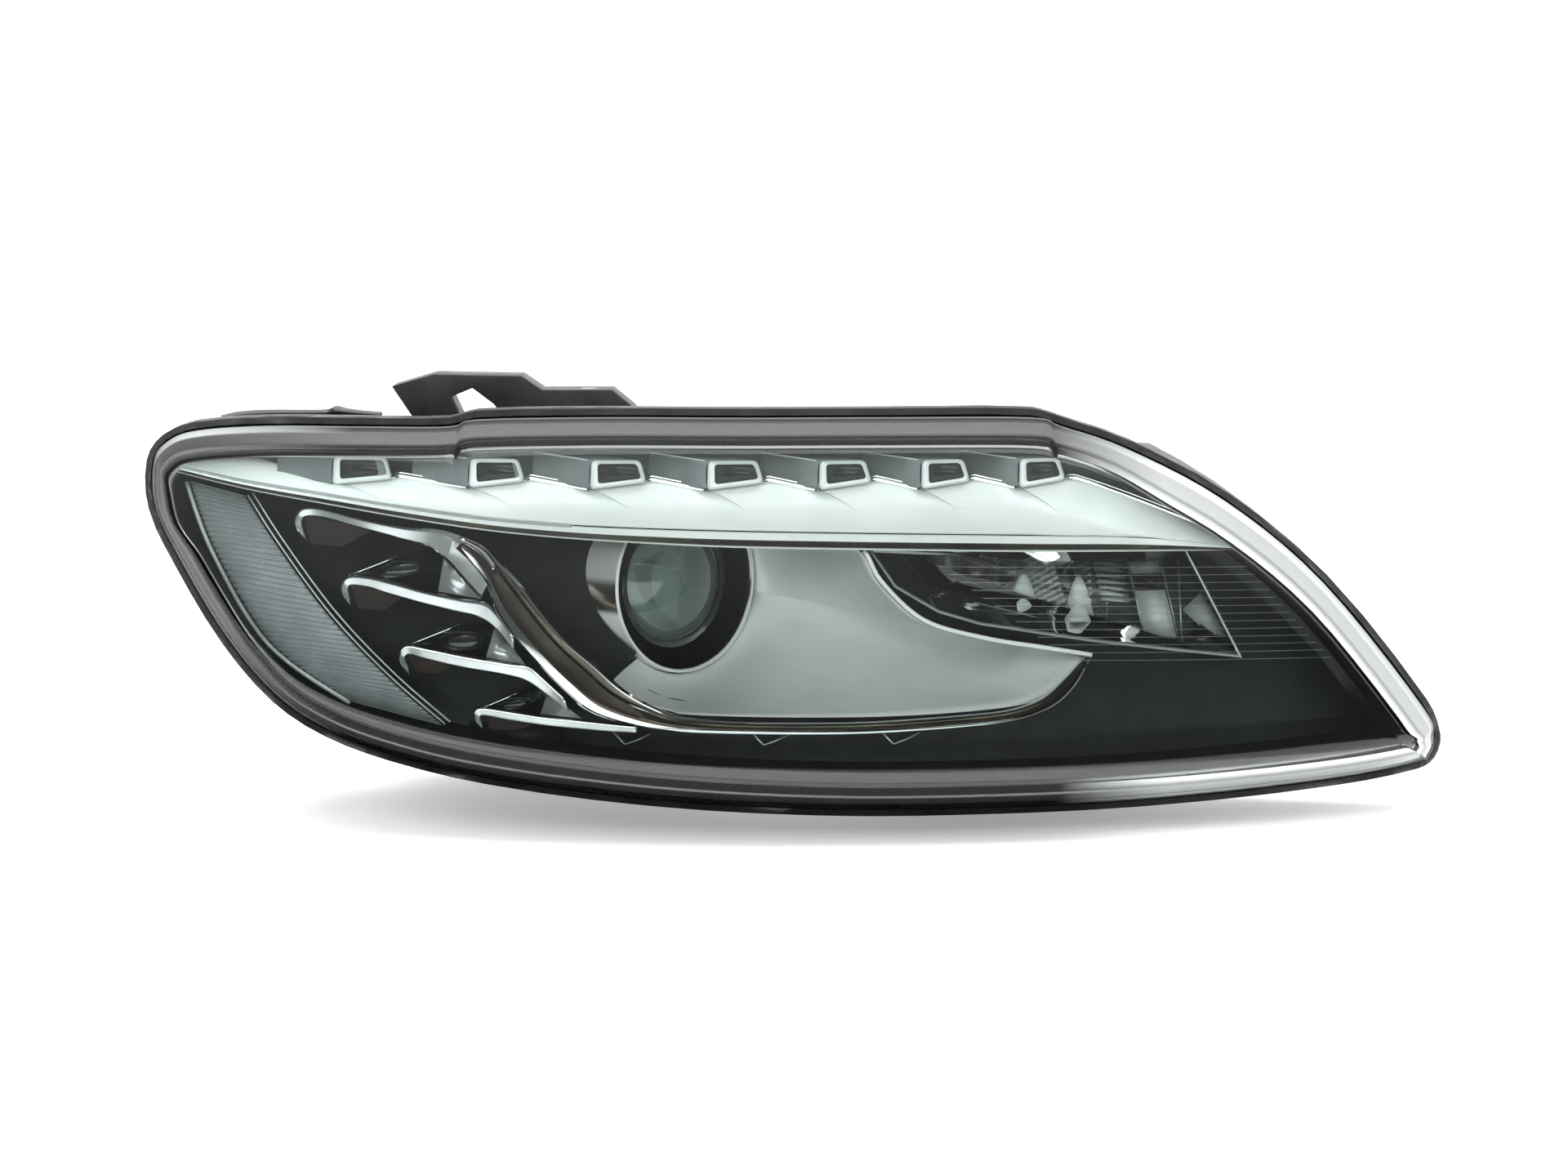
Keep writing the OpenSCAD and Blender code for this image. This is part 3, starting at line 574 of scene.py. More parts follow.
# Clear materials: (tint, the rest)
CLEARS = {
    "clear_lens": ((0.965, 0.985, 0.98), {}),
    "smoked_window": ((0.16, 0.18, 0.18), dict(rough=0.04, body=(0.10, 0.11, 0.11), amount=0.35)),
    "amber_window": ((0.20, 0.15, 0.13), dict(rough=0.05, body=(0.06, 0.045, 0.04), amount=0.4)),
    "bulb_glass": ((0.93, 0.95, 0.95), {}),
    "projector_glass": ((0.60, 0.70, 0.64),
                        dict(rough=0.015, ior=1.62, body=(0.22, 0.28, 0.25), amount=0.42)),
}
LOOKS = {}


def make_looks():
    """Fills LOOKS with every material by name."""
    for name, (dark, light, rough, rest) in SOLIDS.items():
        LOOKS[name] = solid(name, dark, light, rough, **rest)
    for name, (tint, rest) in CLEARS.items():
        LOOKS[name] = clear(name, tint, **rest)
    LOOKS["ring_chrome"] = ring_look()
    LOOKS["pale_skirt"] = skirt_look()


def dress_cad_nodes():
    """Gives every CAD node its slot's material and a small rounding on its edges."""
    slots = {s["node"]: s["material_slot"] for s in frame["record"]["subparts"]}
    for name, obj in frame["nodes"].items():
        look = LOOKS[slots[name]]
        obj.data.materials.clear()
        obj.data.materials.append(look)
        obj.data.shade_smooth()
        join = obj.modifiers.new("weld", "WELD")
        join.merge_threshold = 0.000002
        round_off = obj.modifiers.new("bevel", "BEVEL")
        round_off.width = 0.0005
        round_off.segments = 2
        round_off.limit_method = "ANGLE"
        round_off.angle_limit = math.radians(40)
        round_off.harden_normals = False
        obj.data.set_sharp_from_angle(angle=math.radians(40))


# ---------- Outer lens ----------

def rim_loop():
    """The lens's outline at its foot with, for each point, its way inwards and its skirt's slant."""
    loop = smooth_path(RIM, 5, closed=True)
    n = len(loop)
    out = []
    for i, (x, z) in enumerate(loop):
        (x0, z0), (x1, z1) = loop[i - 1], loop[(i + 1) % n]
        tx, tz = x1 - x0, z1 - z0
        ln = math.hypot(tx, tz)
        nx, nz = tz / ln, -tx / ln
        sx = min(max(x, SPINE[0][0]), SPINE[-1][0])
        sz = table(SPINE, sx)
        dx, dz = sx - x, sz - z
        dl = math.hypot(dx, dz)
        cos = max(0.55, (dx * nx + dz * nz) / dl)
        out.append((x, z, dx / dl, dz / dl, dl, cos, slant(z)))
    return out


def slant(z):
    """How far the lens's front edge is inside its foot."""
    top = ease((z + 25) / 25)
    return lerp(12.5, 8.5, top)


def ring_at(loop, inset, band, depth):
    """The outline moved inwards by inset plus band times the slant, at a depth."""
    out = []
    for x, z, dx, dz, dl, cos, s in loop:
        d = min((inset + band * s) / cos, dl * 0.97)
        out.append(on_face(x + dx * d, z + dz * d, depth))
    return out


def centre_rings(loop, inset, band, depth, shares):
    """Rings from the outline in to the spine, at a depth."""
    rings = []
    for t in shares:
        ring = []
        for x, z, dx, dz, dl, cos, s in loop:
            d0 = min((inset + band * s) / cos, dl * 0.97)
            d = lerp(d0, dl * 0.94, t)
            ring.append(on_face(x + dx * d, z + dz * d, depth))
        rings.append(ring)
    return rings


def make_outer_lens():
    """The lens: a clear face and the pale skirt round it, as one shell."""
    loop = rim_loop()
    shares = [k / 14 for k in range(1, 15)]
    net = Net()
    outside = [
        ring_at(loop, 0.7, 0, 41.8), ring_at(loop, 0.8, 0.0, 34), ring_at(loop, 0.8, 0.45, 18),
        ring_at(loop, 0.8, 0.80, 7.5), ring_at(loop, 1.2, 0.93, 3.5), ring_at(loop, 2.4, 1.0, 1.2),
        ring_at(loop, 4.6, 1.0, 0.2),
    ]
    inside = [
        ring_at(loop, 3.6, 0, 41.8), ring_at(loop, 3.7, 0.0, 34), ring_at(loop, 3.7, 0.45, 19),
        ring_at(loop, 4.0, 0.80, 9.5), ring_at(loop, 4.4, 0.93, 6.2), ring_at(loop, 5.6, 1.0, 3.9),
        ring_at(loop, 7.0, 1.0, 3.0),
    ]
    net.grid(outside, wrap=True, part=1)
    face = centre_rings(loop, 4.6, 1.0, 0.0, shares)
    net.grid(outside[-1:] + face, wrap=True)
    net.fill(face[-1])
    net.grid(inside, wrap=True, part=1)
    face = centre_rings(loop, 7.0, 1.0, 3.0, shares)
    net.grid(inside[-1:] + face, wrap=True)
    net.fill(face[-1])
    net.grid([outside[0], inside[0]], wrap=True, part=1)
    net.make("outer_lens_shell", "clear_lens pale_skirt", nodes=["outer_lens"], slot="clear_lens", crisp=60)


# ---------- Inner bezel ----------

def make_bezel():
    """The black dish behind the trims, with a lip that follows the lens's skirt."""
    loop = rim_loop()
    shares = [k / 16 for k in range(1, 17)]
    front = [
        ring_at(loop, 9.0, 0.42, 20), ring_at(loop, 9.4, 0.42, 19), ring_at(loop, 10.4, 0.42, 19),
        ring_at(loop, 11.5, 0.42, 22), ring_at(loop, 14, 0.5, 38), ring_at(loop, 17, 0.6, 48),
        ring_at(loop, 22, 0.7, 50.5),
    ] + centre_rings(loop, 22, 0.7, 51, shares)
    back = [ring_at(loop, 9.0, 0.42, 21), ring_at(loop, 9.2, 0.42, 54.5)] + centre_rings(loop, 9.2, 0.42,
        54.8, shares)
    net = Net()
    net.grid(front, wrap=True)
    net.grid(back, wrap=True)
    net.grid([front[0], back[0]], wrap=True)
    net.fill(front[-1])
    net.fill(back[-1])
    obj = net.make("inner_bezel_dish", "grained_bezel", nodes=["inner_bezel"], slot="grained_bezel")
    ring = Net()
    ring.tube([[optic(u, v, w) for u, w in circle(96, RING_R)] for v in (-70, 60)])
    cut(obj, [ring, prism_cutter(CORNER_OUTLINE, 10, 70), prism_cutter(PANEL_HOLE, 14, 70)])


CORNER_OUTLINE = [(44, -60), (60, -83), (84, -97), (107, -104), (171, -115), (256, -127), (221, -60)]
PANEL_HOLE = [(-16, -63), (37, -64), (49, -83), (73, -104), (105, -113), (138, -118.5), (160, -123.5),
              (153, -133),
              (142, -139), (122, -145), (52, -149), (-42, -148), (-66, -144), (-83, -136), (-88, -130),
              (-80, -118)]


# ---------- Daytime lights ----------

POD_SPANS = [(-250, -217), (-173, -143), (-106, -76), (-42, -12), (19, 47), (75, 101), (129, 154)]
STRIP_TOP = [(-341, -21), (-300, -28), (-252, -34), (-206, -40), (-161, -45), (-116, -48), (-71, -49.5),
             (-27, -50.5), (47, -52), (129, -54), (198, -57), (258, -64.5)]
FOOT = 52
POD_BACK = Vector((-0.90, 0.42, 0.10))


def blade_columns():
    """Columns of the silver blade: (x and z of its upper edge, setback there, how far its foot slants)."""
    cols = []
    first = smooth_path([(-340, -20.5), (-334, -18), (-318, -16.5), (-300, -16.3), (-287, -18),
                         (-250, -28.5)], 4)
    for k, (x, z) in enumerate(first):
        cols.append((x, z, 3.2 * ease(k / len(first)) ** 2, FOOT * ease(k / len(first))))
    for k, (x0, x1) in enumerate(POD_SPANS):
        last = k == len(POD_SPANS) - 1
        nxt = POD_SPANS[k + 1][0] if not last else 262
        end_z = -29.5 if not last else -65.5
        cols.append((x0 + 0.3, -29.0, 0.0, FOOT))
        cols.append((x1, -24.6, 0.3, FOOT))
        steps = 10 if not last else 18
        for j in range(1, steps + 1):
            s = j / steps
            x = lerp(x1 + 1, nxt, s)
            z = lerp(-23.0, end_z, s if not last else s ** 1.15)
            cols.append((x, z, 3.2 * s ** 1.3 if not last else 2 * s, FOOT if not last else FOOT * (1 - s)))
    return cols


def make_blade():
    """The silver blade under the pods, stepped once per pod."""
    steps = 14
    cols = blade_columns()
    net = Net()
    front, rear = [], []
    for j in range(steps + 1):
        v = j / steps
        row, back = [], []
        for x, z, setback, foot in cols:
            xx = x + foot * v * (1 - 0.45 * v)
            if x > 200:
                xx = min(xx, 259)
            zb = table(STRIP_TOP, xx)
            zz = lerp(z, zb, v)
            fade = max(0.0, 1 - v / 0.6) ** 1.5
            depth = lerp(25, 17.5, v ** 0.8) + setback * fade + 1.8 * math.sin(math.pi * v)
            row.append(on_face(xx, zz, depth))
            back.append(on_face(xx, zz, depth + 2.2))
        front.append(row)
        rear.append(back)
    net.slab(front, rear)
    net.make("drl_blade", "silver_trim", nodes=["drl_reflector"], slot="silver_trim", crisp=28)
    lip = Net()
    for k, (_, x1) in enumerate(POD_SPANS):
        run = [c for c in cols if x1 - 0.5 <= c[0] <= (POD_SPANS[k + 1][0] if k < 6 else 262)]
        wire(lip, [(x, z - 0.4, 24.0 + b) for x, z, b, _ in run], 1.05)
        wire(lip, [(x, z + 1.4, 25.2 + b) for x, z, b, _ in run], 0.45)
    lip.make("drl_edge_lips", "chrome_trim", slot="chrome_trim")


def make_recess():
    """The wall behind the pods, from the roof down to behind the blade; its grey is painted shade on silver.
    """
    net = Net()
    rows = []
    top = [(-338, -16), (-318, -10), (-290, -8.5), (-190, -5.5), (-160, -2.5), (0, -1.5), (138, -2.5),
           (170, -8), (205, -26), (235, -50), (262, -64)]
    low = [(-338, -19), (-290, -24), (-220, -32), (-100, -34), (100, -34), (160, -34), (220, -56),
           (262, -66)]
    for j in range(9):
        t = j / 8
        row = []
        for i in range(121):
            x = lerp(-338, 258, i / 120)
            z = lerp(table(top, x), table(low, x), t)
            depth = lerp(16, 42, ease(t * 3.2))
            row.append(on_face(x, z, depth))
        rows.append(row)
    back = moved_back(rows, 0.002)
    net.slab(rows, back)
    net.make("drl_recess", "recess_grey", slot="silver_trim")


def pod_mouth(k):
    """Corners of pod k's mouth, from its lower left on, and those of its window."""
    x0, x1 = POD_SPANS[k]
    mouth = [(x0, -29.4), (x1 + 1, -25.4), (x1 - 2.6, -13.4), (x0 + 0.4, -13.6)]
    inner = [(x0 + 4.3, -26.2), (x1 - 1.9, -23.2), (x1 - 4.6, -15.3), (x0 + 4.0, -15.5)]
    return mouth, inner


def pod_ring(points, r, depth, back=0.0):
    """A pod's outline with round corners at a depth, moved further back by some millimetres."""
    return [on_face(x, z, depth) + POD_BACK * (back / 1000) for x, z in round_corners(points, r)]


def make_pods():
    """The seven daytime lights: a shell, a frame, a window, a ridge and four light bars each."""
    shells, frames, windows, chips, ridges = Net(), Net(), Net(), Net(), Net()
    for k in range(len(POD_SPANS)):
        mouth, inner = pod_mouth(k)
        middle = [((a[0] + b[0]) / 2, (a[1] + b[1]) / 2) for a, b in zip(mouth, inner)]
        frames.grid([
            pod_ring(mouth, 3.2, 23.5), pod_ring(mouth, 3.2, 21.2),
            pod_ring(inset_points(mouth, 0.5), 2.9, 20.2),
            pod_ring(middle, 2.5, 19.6), pod_ring(inner, 2.0, 20.4), pod_ring(inner, 2.0, 23.5),
            pod_ring(mouth, 3.2, 23.5),
        ], wrap=True)
        windows.tube([pod_ring(inner, 2.0, 21.6), pod_ring(inner, 2.0, 23.2)])
        low = inset_points(mouth, 1.6)
        run = (2.6, 14, 26, 36)
        shells.grid([pod_ring(mouth, 3.0, 21, b) for b in run] + [pod_ring(low, 2.2, 21, b)
            for b in reversed(run)]
                    + [pod_ring(mouth, 3.0, 21, run[0])], wrap=True)
        top = [on_face(mouth[3][0] + 0.6, mouth[3][1] - 0.2, 21) + POD_BACK * (b / 1000) for b in run]
        quarters = (0, 1.57, 3.14, 4.71)
        ridges.tube([[p + Vector((0, 0.4 * math.cos(a), 0.4 * math.sin(a))) / 1000 for a in quarters]
                     for p in top])
        for n in range(4):
            x = lerp(inner[0][0] + 4, inner[1][0] - 4, n / 3)
            z = lerp(inner[0][1], inner[1][1], n / 3) + 5.5
            face = ((-0.5, -2), (0.5, -2), (0.5, 2), (-0.5, 2))
            box_mesh(chips, [on_face(x + a, z + b, d) for d in (24.4, 25.6) for a, b in face])
    # The shells' grey is painted shade, as on the wall behind them.
    shells.make("drl_pod_shells", "recess_grey", slot="silver_trim", crisp=50)
    frames.make("drl_pod_frames", "silver_trim", slot="chrome_trim", crisp=60)
    windows.make("drl_windows", "smoked_window", nodes=["drl_pod_windows"], slot="smoked_window")
    ridges.make("drl_pod_ridges", "silver_trim", slot="silver_trim")
    chips.make("drl_light_bars", "silver_trim", slot="silver_trim")


# Part 0 is bright silver, on the upper face a painted reflection; part 1 is the dark seam; part 2 is the
# painted dark reflection of the lower face.
STRIP_SECTION = [(0, -5, 1), (0, -0.2, 1), (0.07, -0.3, 0), (0.11, 0.6, 0), (0.50, 1.7, 2), (0.54, 1.6, 2),
                 (0.90, -1.0, 0),
                 (0.94, -0.5, 0), (1.0, -0.8, 0), (1.0, -5, 1)]


def strip_height(x):
    """Height in millimetres of the chrome strip at x."""
    return table([(-341, 4.2), (-252, 6.0), (-116, 7.6), (-27, 9.2), (129, 9.4), (198, 7.8), (258, 1.6)], x)


def make_strip():
    """The chrome strip: a dark seam, a bright upper face and a dark lower one, both painted reflections, and
    a thin lip.
    """
    net = Net()
    loft(net, [(x, z, x, z - strip_height(x)) for x, z in STRIP_TOP], 17.5, STRIP_SECTION)
    net.make("chrome_strip_bar", "silver_trim piano_black olive_chrome", nodes=["chrome_strip"],
             slot="chrome_trim", crisp=25)
    guide = Net()
    edge = smooth_path([(x, z - 0.6) for x, z in STRIP_TOP[:6]], 14)
    wire(guide, [(x, z, 16.4 + 0.35 * (i % 2)) for i, (x, z) in enumerate(edge)], 0.8, sides=6)
    guide.make("drl_light_guide", "clear_reflector", slot="clear_reflector", crisp=15)


# ---------- Turn light trim ----------

TRUNK = [
    (-174, -56, -180, -62), (-164, -60, -170, -71), (-157, -67, -162, -82), (-145, -79, -157, -96),
    (-130, -97, -146, -111),
    (-117, -111, -134, -124), (-102, -123, -121, -137), (-87, -136, -105, -149), (-70, -146, -80, -156),
    (-55, -151, -56, -159),
    (-27, -153.5, -27, -160), (18, -154, 18, -160.5), (52, -153.5, 52, -160), (98, -151, 99, -157.5),
    (124, -148.5, 126, -154.5),
    (141, -143, 147, -147.5), (153, -133, 160, -136), (165, -121, 168, -122),
]
PRONGS = [
    [(-264, -60, -264.3, -60.6), (-270, -54, -267, -54.5), (-271, -48, -267.7, -50),
     (-267, -42.5, -265, -47),
     (-256, -42.5, -255, -47), (-235, -47, -236, -51.5), (-209, -51, -210, -57.5), (-190, -52, -194, -62),
     (-175, -56, -184, -70), (-164, -61, -174, -81), (-157, -70, -166, -89)],
    [(-238.3, -95, -238.6, -95.6), (-243, -89, -240, -89.5), (-244, -83, -240.5, -85.5),
     (-240, -78.5, -238, -83.3),
     (-229, -78.5, -228, -84.3), (-218, -80.4, -219, -86.8), (-196, -85.5, -198, -92),
     (-175, -89, -180, -96),
     (-163, -90.5, -167, -99), (-157, -96, -156, -106), (-148, -108, -147, -117)],
    [(-205, -131, -205.3, -131.6), (-210, -125.5, -207, -126), (-211, -120, -208.3, -122),
     (-207, -115.3, -205.3, -119.8),
     (-195.5, -116.5, -196, -122), (-175, -120, -176, -126), (-149, -123.5, -152, -129.5),
     (-139, -124.5, -140, -133),
     (-131, -131, -129, -140), (-120, -141, -117, -149)],
    [(-163.5, -160, -163.8, -160.6), (-168, -155.5, -165.3, -156), (-169, -150.5, -166, -152.5),
     (-165, -147.8, -163, -152),
     (-148.5, -149.6, -149, -154.2), (-130, -152, -131, -156.5), (-111, -153.5, -113, -158),
     (-95, -155, -95, -159.3),
     (-80, -156.3, -80, -159.8)],
]
PRONG_SECTION = [(0, -5, 0), (0, 0.3, 0), (0.08, 1.1, 0), (0.20, 1.0, 1), (0.28, 0.1, 1), (0.92, -1.0, 0),
                 (0.96, -0.5, 0),
                 (1.0, -0.9, 0), (1.0, -5, 0)]
# Parts 2 and 3 paint dark reflections on some of the trunk's faces.
TRUNK_SECTION = [(0, -5, 0), (0, 0.2, 0), (0.05, 1.3, 0), (0.10, 1.3, 2), (0.26, 0.2, 0), (0.31, -0.3, 2),
                 (0.38, 0.2, 2),
                 (0.56, 1.3, 3), (0.74, 0.9, 0), (0.93, 0.2, 0), (0.97, 0.6, 0), (1.0, 0.2, 0),
                 (1.0, -5, 0)]
WEBS = [
    [(-186, -61, 30), (-178, -72, 33), (-190, -86, 26), (-166, -89, 22), (-172, -78, 25)],
    [(-158, -103, 27), (-152, -112, 33), (-163, -121, 26), (-141, -124, 22)],
    [(-135, -135, 28), (-130, -142, 32), (-133, -151, 26), (-110, -152.5, 22)],
]
SHELVES = [
    [(-240, -79, 24), (-213, -68.5, 30), (-186, -61, 36), (-178, -72, 36), (-190, -86, 28),
     (-218, -81, 26)],
    [(-207, -116, 24), (-178, -104.5, 30), (-158, -103, 34), (-152, -112, 34), (-163, -121, 28),
     (-176, -120, 26)],
    [(-166, -149, 24), (-146, -141, 30), (-135, -135, 34), (-130, -142, 34), (-133, -151, 28),
     (-148, -150, 26)],
]
MARKS = (-94, -18, 53)


def make_turn_trim():
    """The fork: its trunk, four prongs, webs between them and the small marks below."""
    net = Net()
    loft(net, TRUNK, 21, TRUNK_SECTION)
    for prong in PRONGS:
        loft(net, prong, 21.6, PRONG_SECTION)
    for web in WEBS:
        mx, mz = (sum(w[i] for w in web) / len(web) for i in (0, 1))
        facet(net, sorted(web, key=lambda c: math.atan2(c[1] - mz, c[0] - mx)), part=1)
    for shelf in SHELVES:
        (xa, za, da), (xb, zb, db) = shelf[0], shelf[1]
        wire(net, [(lerp(xa, xb, t), lerp(za, zb, t) + 0.6, lerp(da, db, t) - 1.0)
                   for t in (0, 0.25, 0.5, 0.75, 1)], 0.4)
    for x in MARKS:
        wire(net, [(x, -161, 38), (x + 3, -164, 37), (x + 7, -168, 36)], 0.55, part=1)
        wire(net, [(x + 7, -168, 36), (x + 13, -166, 37), (x + 21, -162.5, 38)], 0.45, part=1)
    net.make("turn_trim_fork", "chrome_trim satin_chrome olive_chrome brown_chrome",
             nodes=["turn_trim"], slot="chrome_trim", crisp=32)


WINDOWS = [((-267, -47), (-226, -53), (-244, -63), (-262, -62)),
           ((-240, -81), (-206, -86), (-220, -97), (-235, -96)),
           ((-208, -116), (-172, -120), (-189, -130), (-202, -130)),
           ((-164, -149), (-128, -153), (-146, -160), (-161, -160))]


def make_turn_windows():
    """The dark windows under the prongs, with the shelves behind them."""
    glass, wells = Net(), Net()
    for quad in WINDOWS:
        front = [on_face(x, z, 25) for x, z in quad]
        back = [on_face(x, z, 27) for x, z in quad]
        box_mesh(glass, front + back)
        (xa, za), (xb, zb) = quad[0], quad[1]
        x, z = lerp(xa, xb, 0.22), lerp(za, zb, 0.22) - 8
        wells.tube([[on_face(x + a, z + b, d) for a, b in circle(10, 2.2)] for d in (28, 29)], part=1)
    for shelf in SHELVES:
        facet(wells, shelf)
    glass.make("turn_window_glass", "amber_window", nodes=["turn_windows"], slot="smoked_window")
    wells.make("turn_shelves", "piano_black led_chip", slot="black_plastic", crisp=20)


# ---------- Silver panel ----------

def make_panel():
    """The concave panel between the projector's ring and the corner light."""
    edge = smooth_path([(-14, -61), (16, -61), (40, -61.5), (52, -80), (75, -101), (107, -111),
                        (140, -117), (168, -122)], 6)
    edge += smooth_path([(168, -122), (160, -132), (148, -140), (124, -147.5), (52, -151.5), (-42, -150.5),
                         (-70, -147),
                         (-86, -139), (-93, -132)], 8)[1:]
    total = [0.0]
    for a, b in zip(edge, edge[1:]):
        total.append(total[-1] + math.hypot(b[0] - a[0], b[1] - a[1]))
    net = Net()
    rows = [[] for _ in range(21)]
    for i, (x, z) in enumerate(edge):
        s = total[i] / total[-1]
        a = lerp(math.radians(72), math.atan2(z + 84, x + 55), min(1, s * 6))
        start = optic(51.5 * math.cos(a), 3.0, 51.5 * math.sin(a))
        end = on_face(x, z, 26)
        for j in range(21):
            t = j / 20
            p = start.lerp(end, t)
            p.y = lerp(start.y, end.y, t ** 1.7)
            if j == 20:
                p.y = on_face(p.x * 1000, p.z * 1000, 24.5 if x > -60 else 30).y
            rows[j].append(p)
    back = moved_back(rows, 0.002)
    net.slab(rows, back)
    net.make("silver_bowl", "panel_silver", nodes=["silver_panel"], slot="silver_trim", crisp=50)
    rim = Net()
    section = [(1, 0), (0.7, 0.8), (0, 1), (-0.7, 0.8), (-1, 0), (-0.7, -1), (0.7, -1)]
    upper = [(x + 1.0, z + 1.4, 24, 1.3, 1.2) for x, z in edge[13:43]]
    sweep(rim, upper, section)
    rim.make("silver_bowl_rim", "silver_trim", slot="silver_trim")


# ---------- Corner light ----------

def corner_depth(x, z):
    """Depth of the corner light's mirror: fluted columns over a ribbed sill, then plain fields."""
    across = x - 44
    sill = ease((-z - 92 - 0.13 * (x - 60)) / 6)
    flute = 7 * abs(math.sin(across * 0.105)) if across < 66 else 10 * abs(math.sin((across - 66) * 0.052))
    rib = 0.8 * abs(math.sin((z - 0.5 * x) * 0.9)) if 60 < across < 136 else 0.0
    wall = 56 + flute + rib - 0.06 * across
    shelf = 44 - 0.55 * (-z - 92) * 0.5 + 0.9 * abs(math.sin((x + z * 1.1) * 0.75))
    return lerp(wall, shelf, sill)


def make_mirror():
    """The corner light's mirror as one sheet, from its top edge to its sloping sill."""
    cols, rows_n = 260, 80
    low = [(44, -62), (60, -82), (84, -96), (107, -103), (171, -114), (254, -126)]
    rows = []
    for j in range(rows_n + 1):
        row = []
        for i in range(cols + 1):
            x = lerp(45, 253, i / cols)
            z = lerp(table([(44, -61), (221, -61), (256, -125)], x), table(low, x), j / rows_n)
            row.append(on_face(x, z, corner_depth(x, z)))
        rows.append(row)
    net = Net()
    back = moved_back(rows, 0.004)
    net.slab(rows, back)
    net.make("corner_mirror", "corner_coat", nodes=["corner_reflector"], slot="chrome_trim", crisp=25)


def arch(net, x, top, foot, wide, depth):
    """A hollow arch: a half cone that opens downwards, seen from the front."""
    rings = []
    for j in range(9):
        t = j / 8
        half = wide / 2 * math.sqrt(max(t, 0.02))
        z = lerp(top, foot, t)
        ring = [on_face(x + half * math.cos(a), z, depth - 7 * math.sin(a) * math.sqrt(max(t, 0.02)))
                for a in (math.pi * k / 12 for k in range(13))]
        ring += [p + Vector((0, 0.002, 0)) for p in reversed(ring)]
        rings.append(ring)
    net.tube(rings, part=1)


def column(net, x, top, foot, half, depth, lean):
    """An upright rounded bar, bowed towards the front."""
    pairs = [(lerp(x, x + lean, t), lerp(top, foot, t)) for t in (0, 0.25, 0.5, 0.75, 1)]
    sweep(net, [(a, b, depth, half, half) for a, b in pairs], circle(12))


def make_corner():
    """The corner light: mirror, posts, arches, facets, frame and clear cover."""
    make_mirror()
    forms = Net()
    for x, foot, half in ((56, -74, 0.9), (63, -83, 1.2), (71, -89, 1.5), (90, -90, 2.2)):
        column(forms, x, -63, foot, half, 44, lean=1.5)
    for x, top, foot, wide, depth in ((79, -70, -92, 9, 46), (132, -78, -95, 16, 44),
                                      (163, -80, -104, 18, 42)):
        arch(forms, x, top, foot, wide, depth)
    # The facets' silver, brown and black are painted reflections on chrome facets.
    facet(forms, [(97, -67, 42), (115, -67, 44), (116, -84, 43), (98, -84, 41)], part=2)
    facet(forms, [(119, -68, 50), (140, -68, 47), (119, -86, 42)], part=3)
    facet(forms, [(147, -66, 44), (158, -66, 44), (164, -94, 40), (157, -97, 40)], part=3)
    for k in range(9):
        z = -66 - 3.3 * k
        column(forms, 170 + 0.7 * k, z, z - 2.0, 1.2, 42, lean=16)
    facet(forms, [(190, -66, 38), (206, -66, 40), (208, -72, 40), (191.5, -72, 38)], part=3)
    facet(forms, [(191.5, -72.5, 38), (208, -72.5, 40), (210, -79, 40), (193, -79, 38)], part=1)
    facet(forms, [(193, -79.5, 38), (210, -79.5, 40), (212, -88, 40), (194.5, -88, 38)], part=2)
    facet(forms, [(194.5, -88.5, 38), (212, -88.5, 40), (218, -114, 38), (200, -112.5, 37)], part=1)
    facet(forms, [(222, -100, 40), (233, -90, 38), (247, -115, 36), (236, -113, 38)], part=1)
    facet(forms, [(222, -114, 37), (236, -106, 39), (242, -119, 36), (224, -117, 37)], part=2)
    for x, z in ((188.5, -65), (207.5, -65)):
        wire(forms, [(x, z, 36), (x + 6, z - 25, 36), (x + 11, z - 48, 36)], 0.5)
    wire(forms, [(219, -70, 36), (220, -92, 36), (221, -117, 36)], 0.5)
    forms.make("corner_forms", "satin_chrome silver_trim brown_chrome piano_black",
               slot="chrome_trim", crisp=30)
    wall = Net()
    outline = smooth_outline(CORNER_OUTLINE, 2)
    rings = [[on_face(x, z, d) for x, z in inset_points(outline, w)] for w, d in
             ((0.3, 62), (0.3, 30), (0.8, 29), (1.5, 29.3), (2.0, 31), (2.0, 62))]
    wall.grid(rings + [rings[0]], wrap=True)
    wall.make("corner_frame", "clear_reflector", slot="chrome_trim")
    cover = Net()
    inner = inset_points(outline, 2.2)
    cover.tube([[on_face(x, z, 31.5) for x, z in inner], [on_face(x, z, 33.5) for x, z in inner]])
    cover.make("corner_cover", "clear_lens", slot="clear_lens")


def make_board_cover():
    """A black sill under the lowest prong, in front of the turn light's board."""
    net = Net()
    facet(net, [(-174, -157.5, 41), (-122, -158.5, 41), (-124, -171, 40), (-170, -169, 40)])
    net.make("board_cover", "grained_bezel", slot="black_plastic")


def make_lens_lines():
    """Fine moulded lines on the inside of the lens, over the corner light and the black field beside it."""
    net = Net()
    for k in range(13):
        z = -69 - 4.3 * k
        x0, x1 = 84 + 6 * k, 256 + 3.9 * k
        wire(net, [(lerp(x0, x1, t), z - 4.5 * t, 3.4) for t in (0, 0.2, 0.4, 0.6, 0.8, 1)], 0.10, sides=4)
    net.make("lens_lines", "clear_reflector", slot="clear_lens", crisp=0)


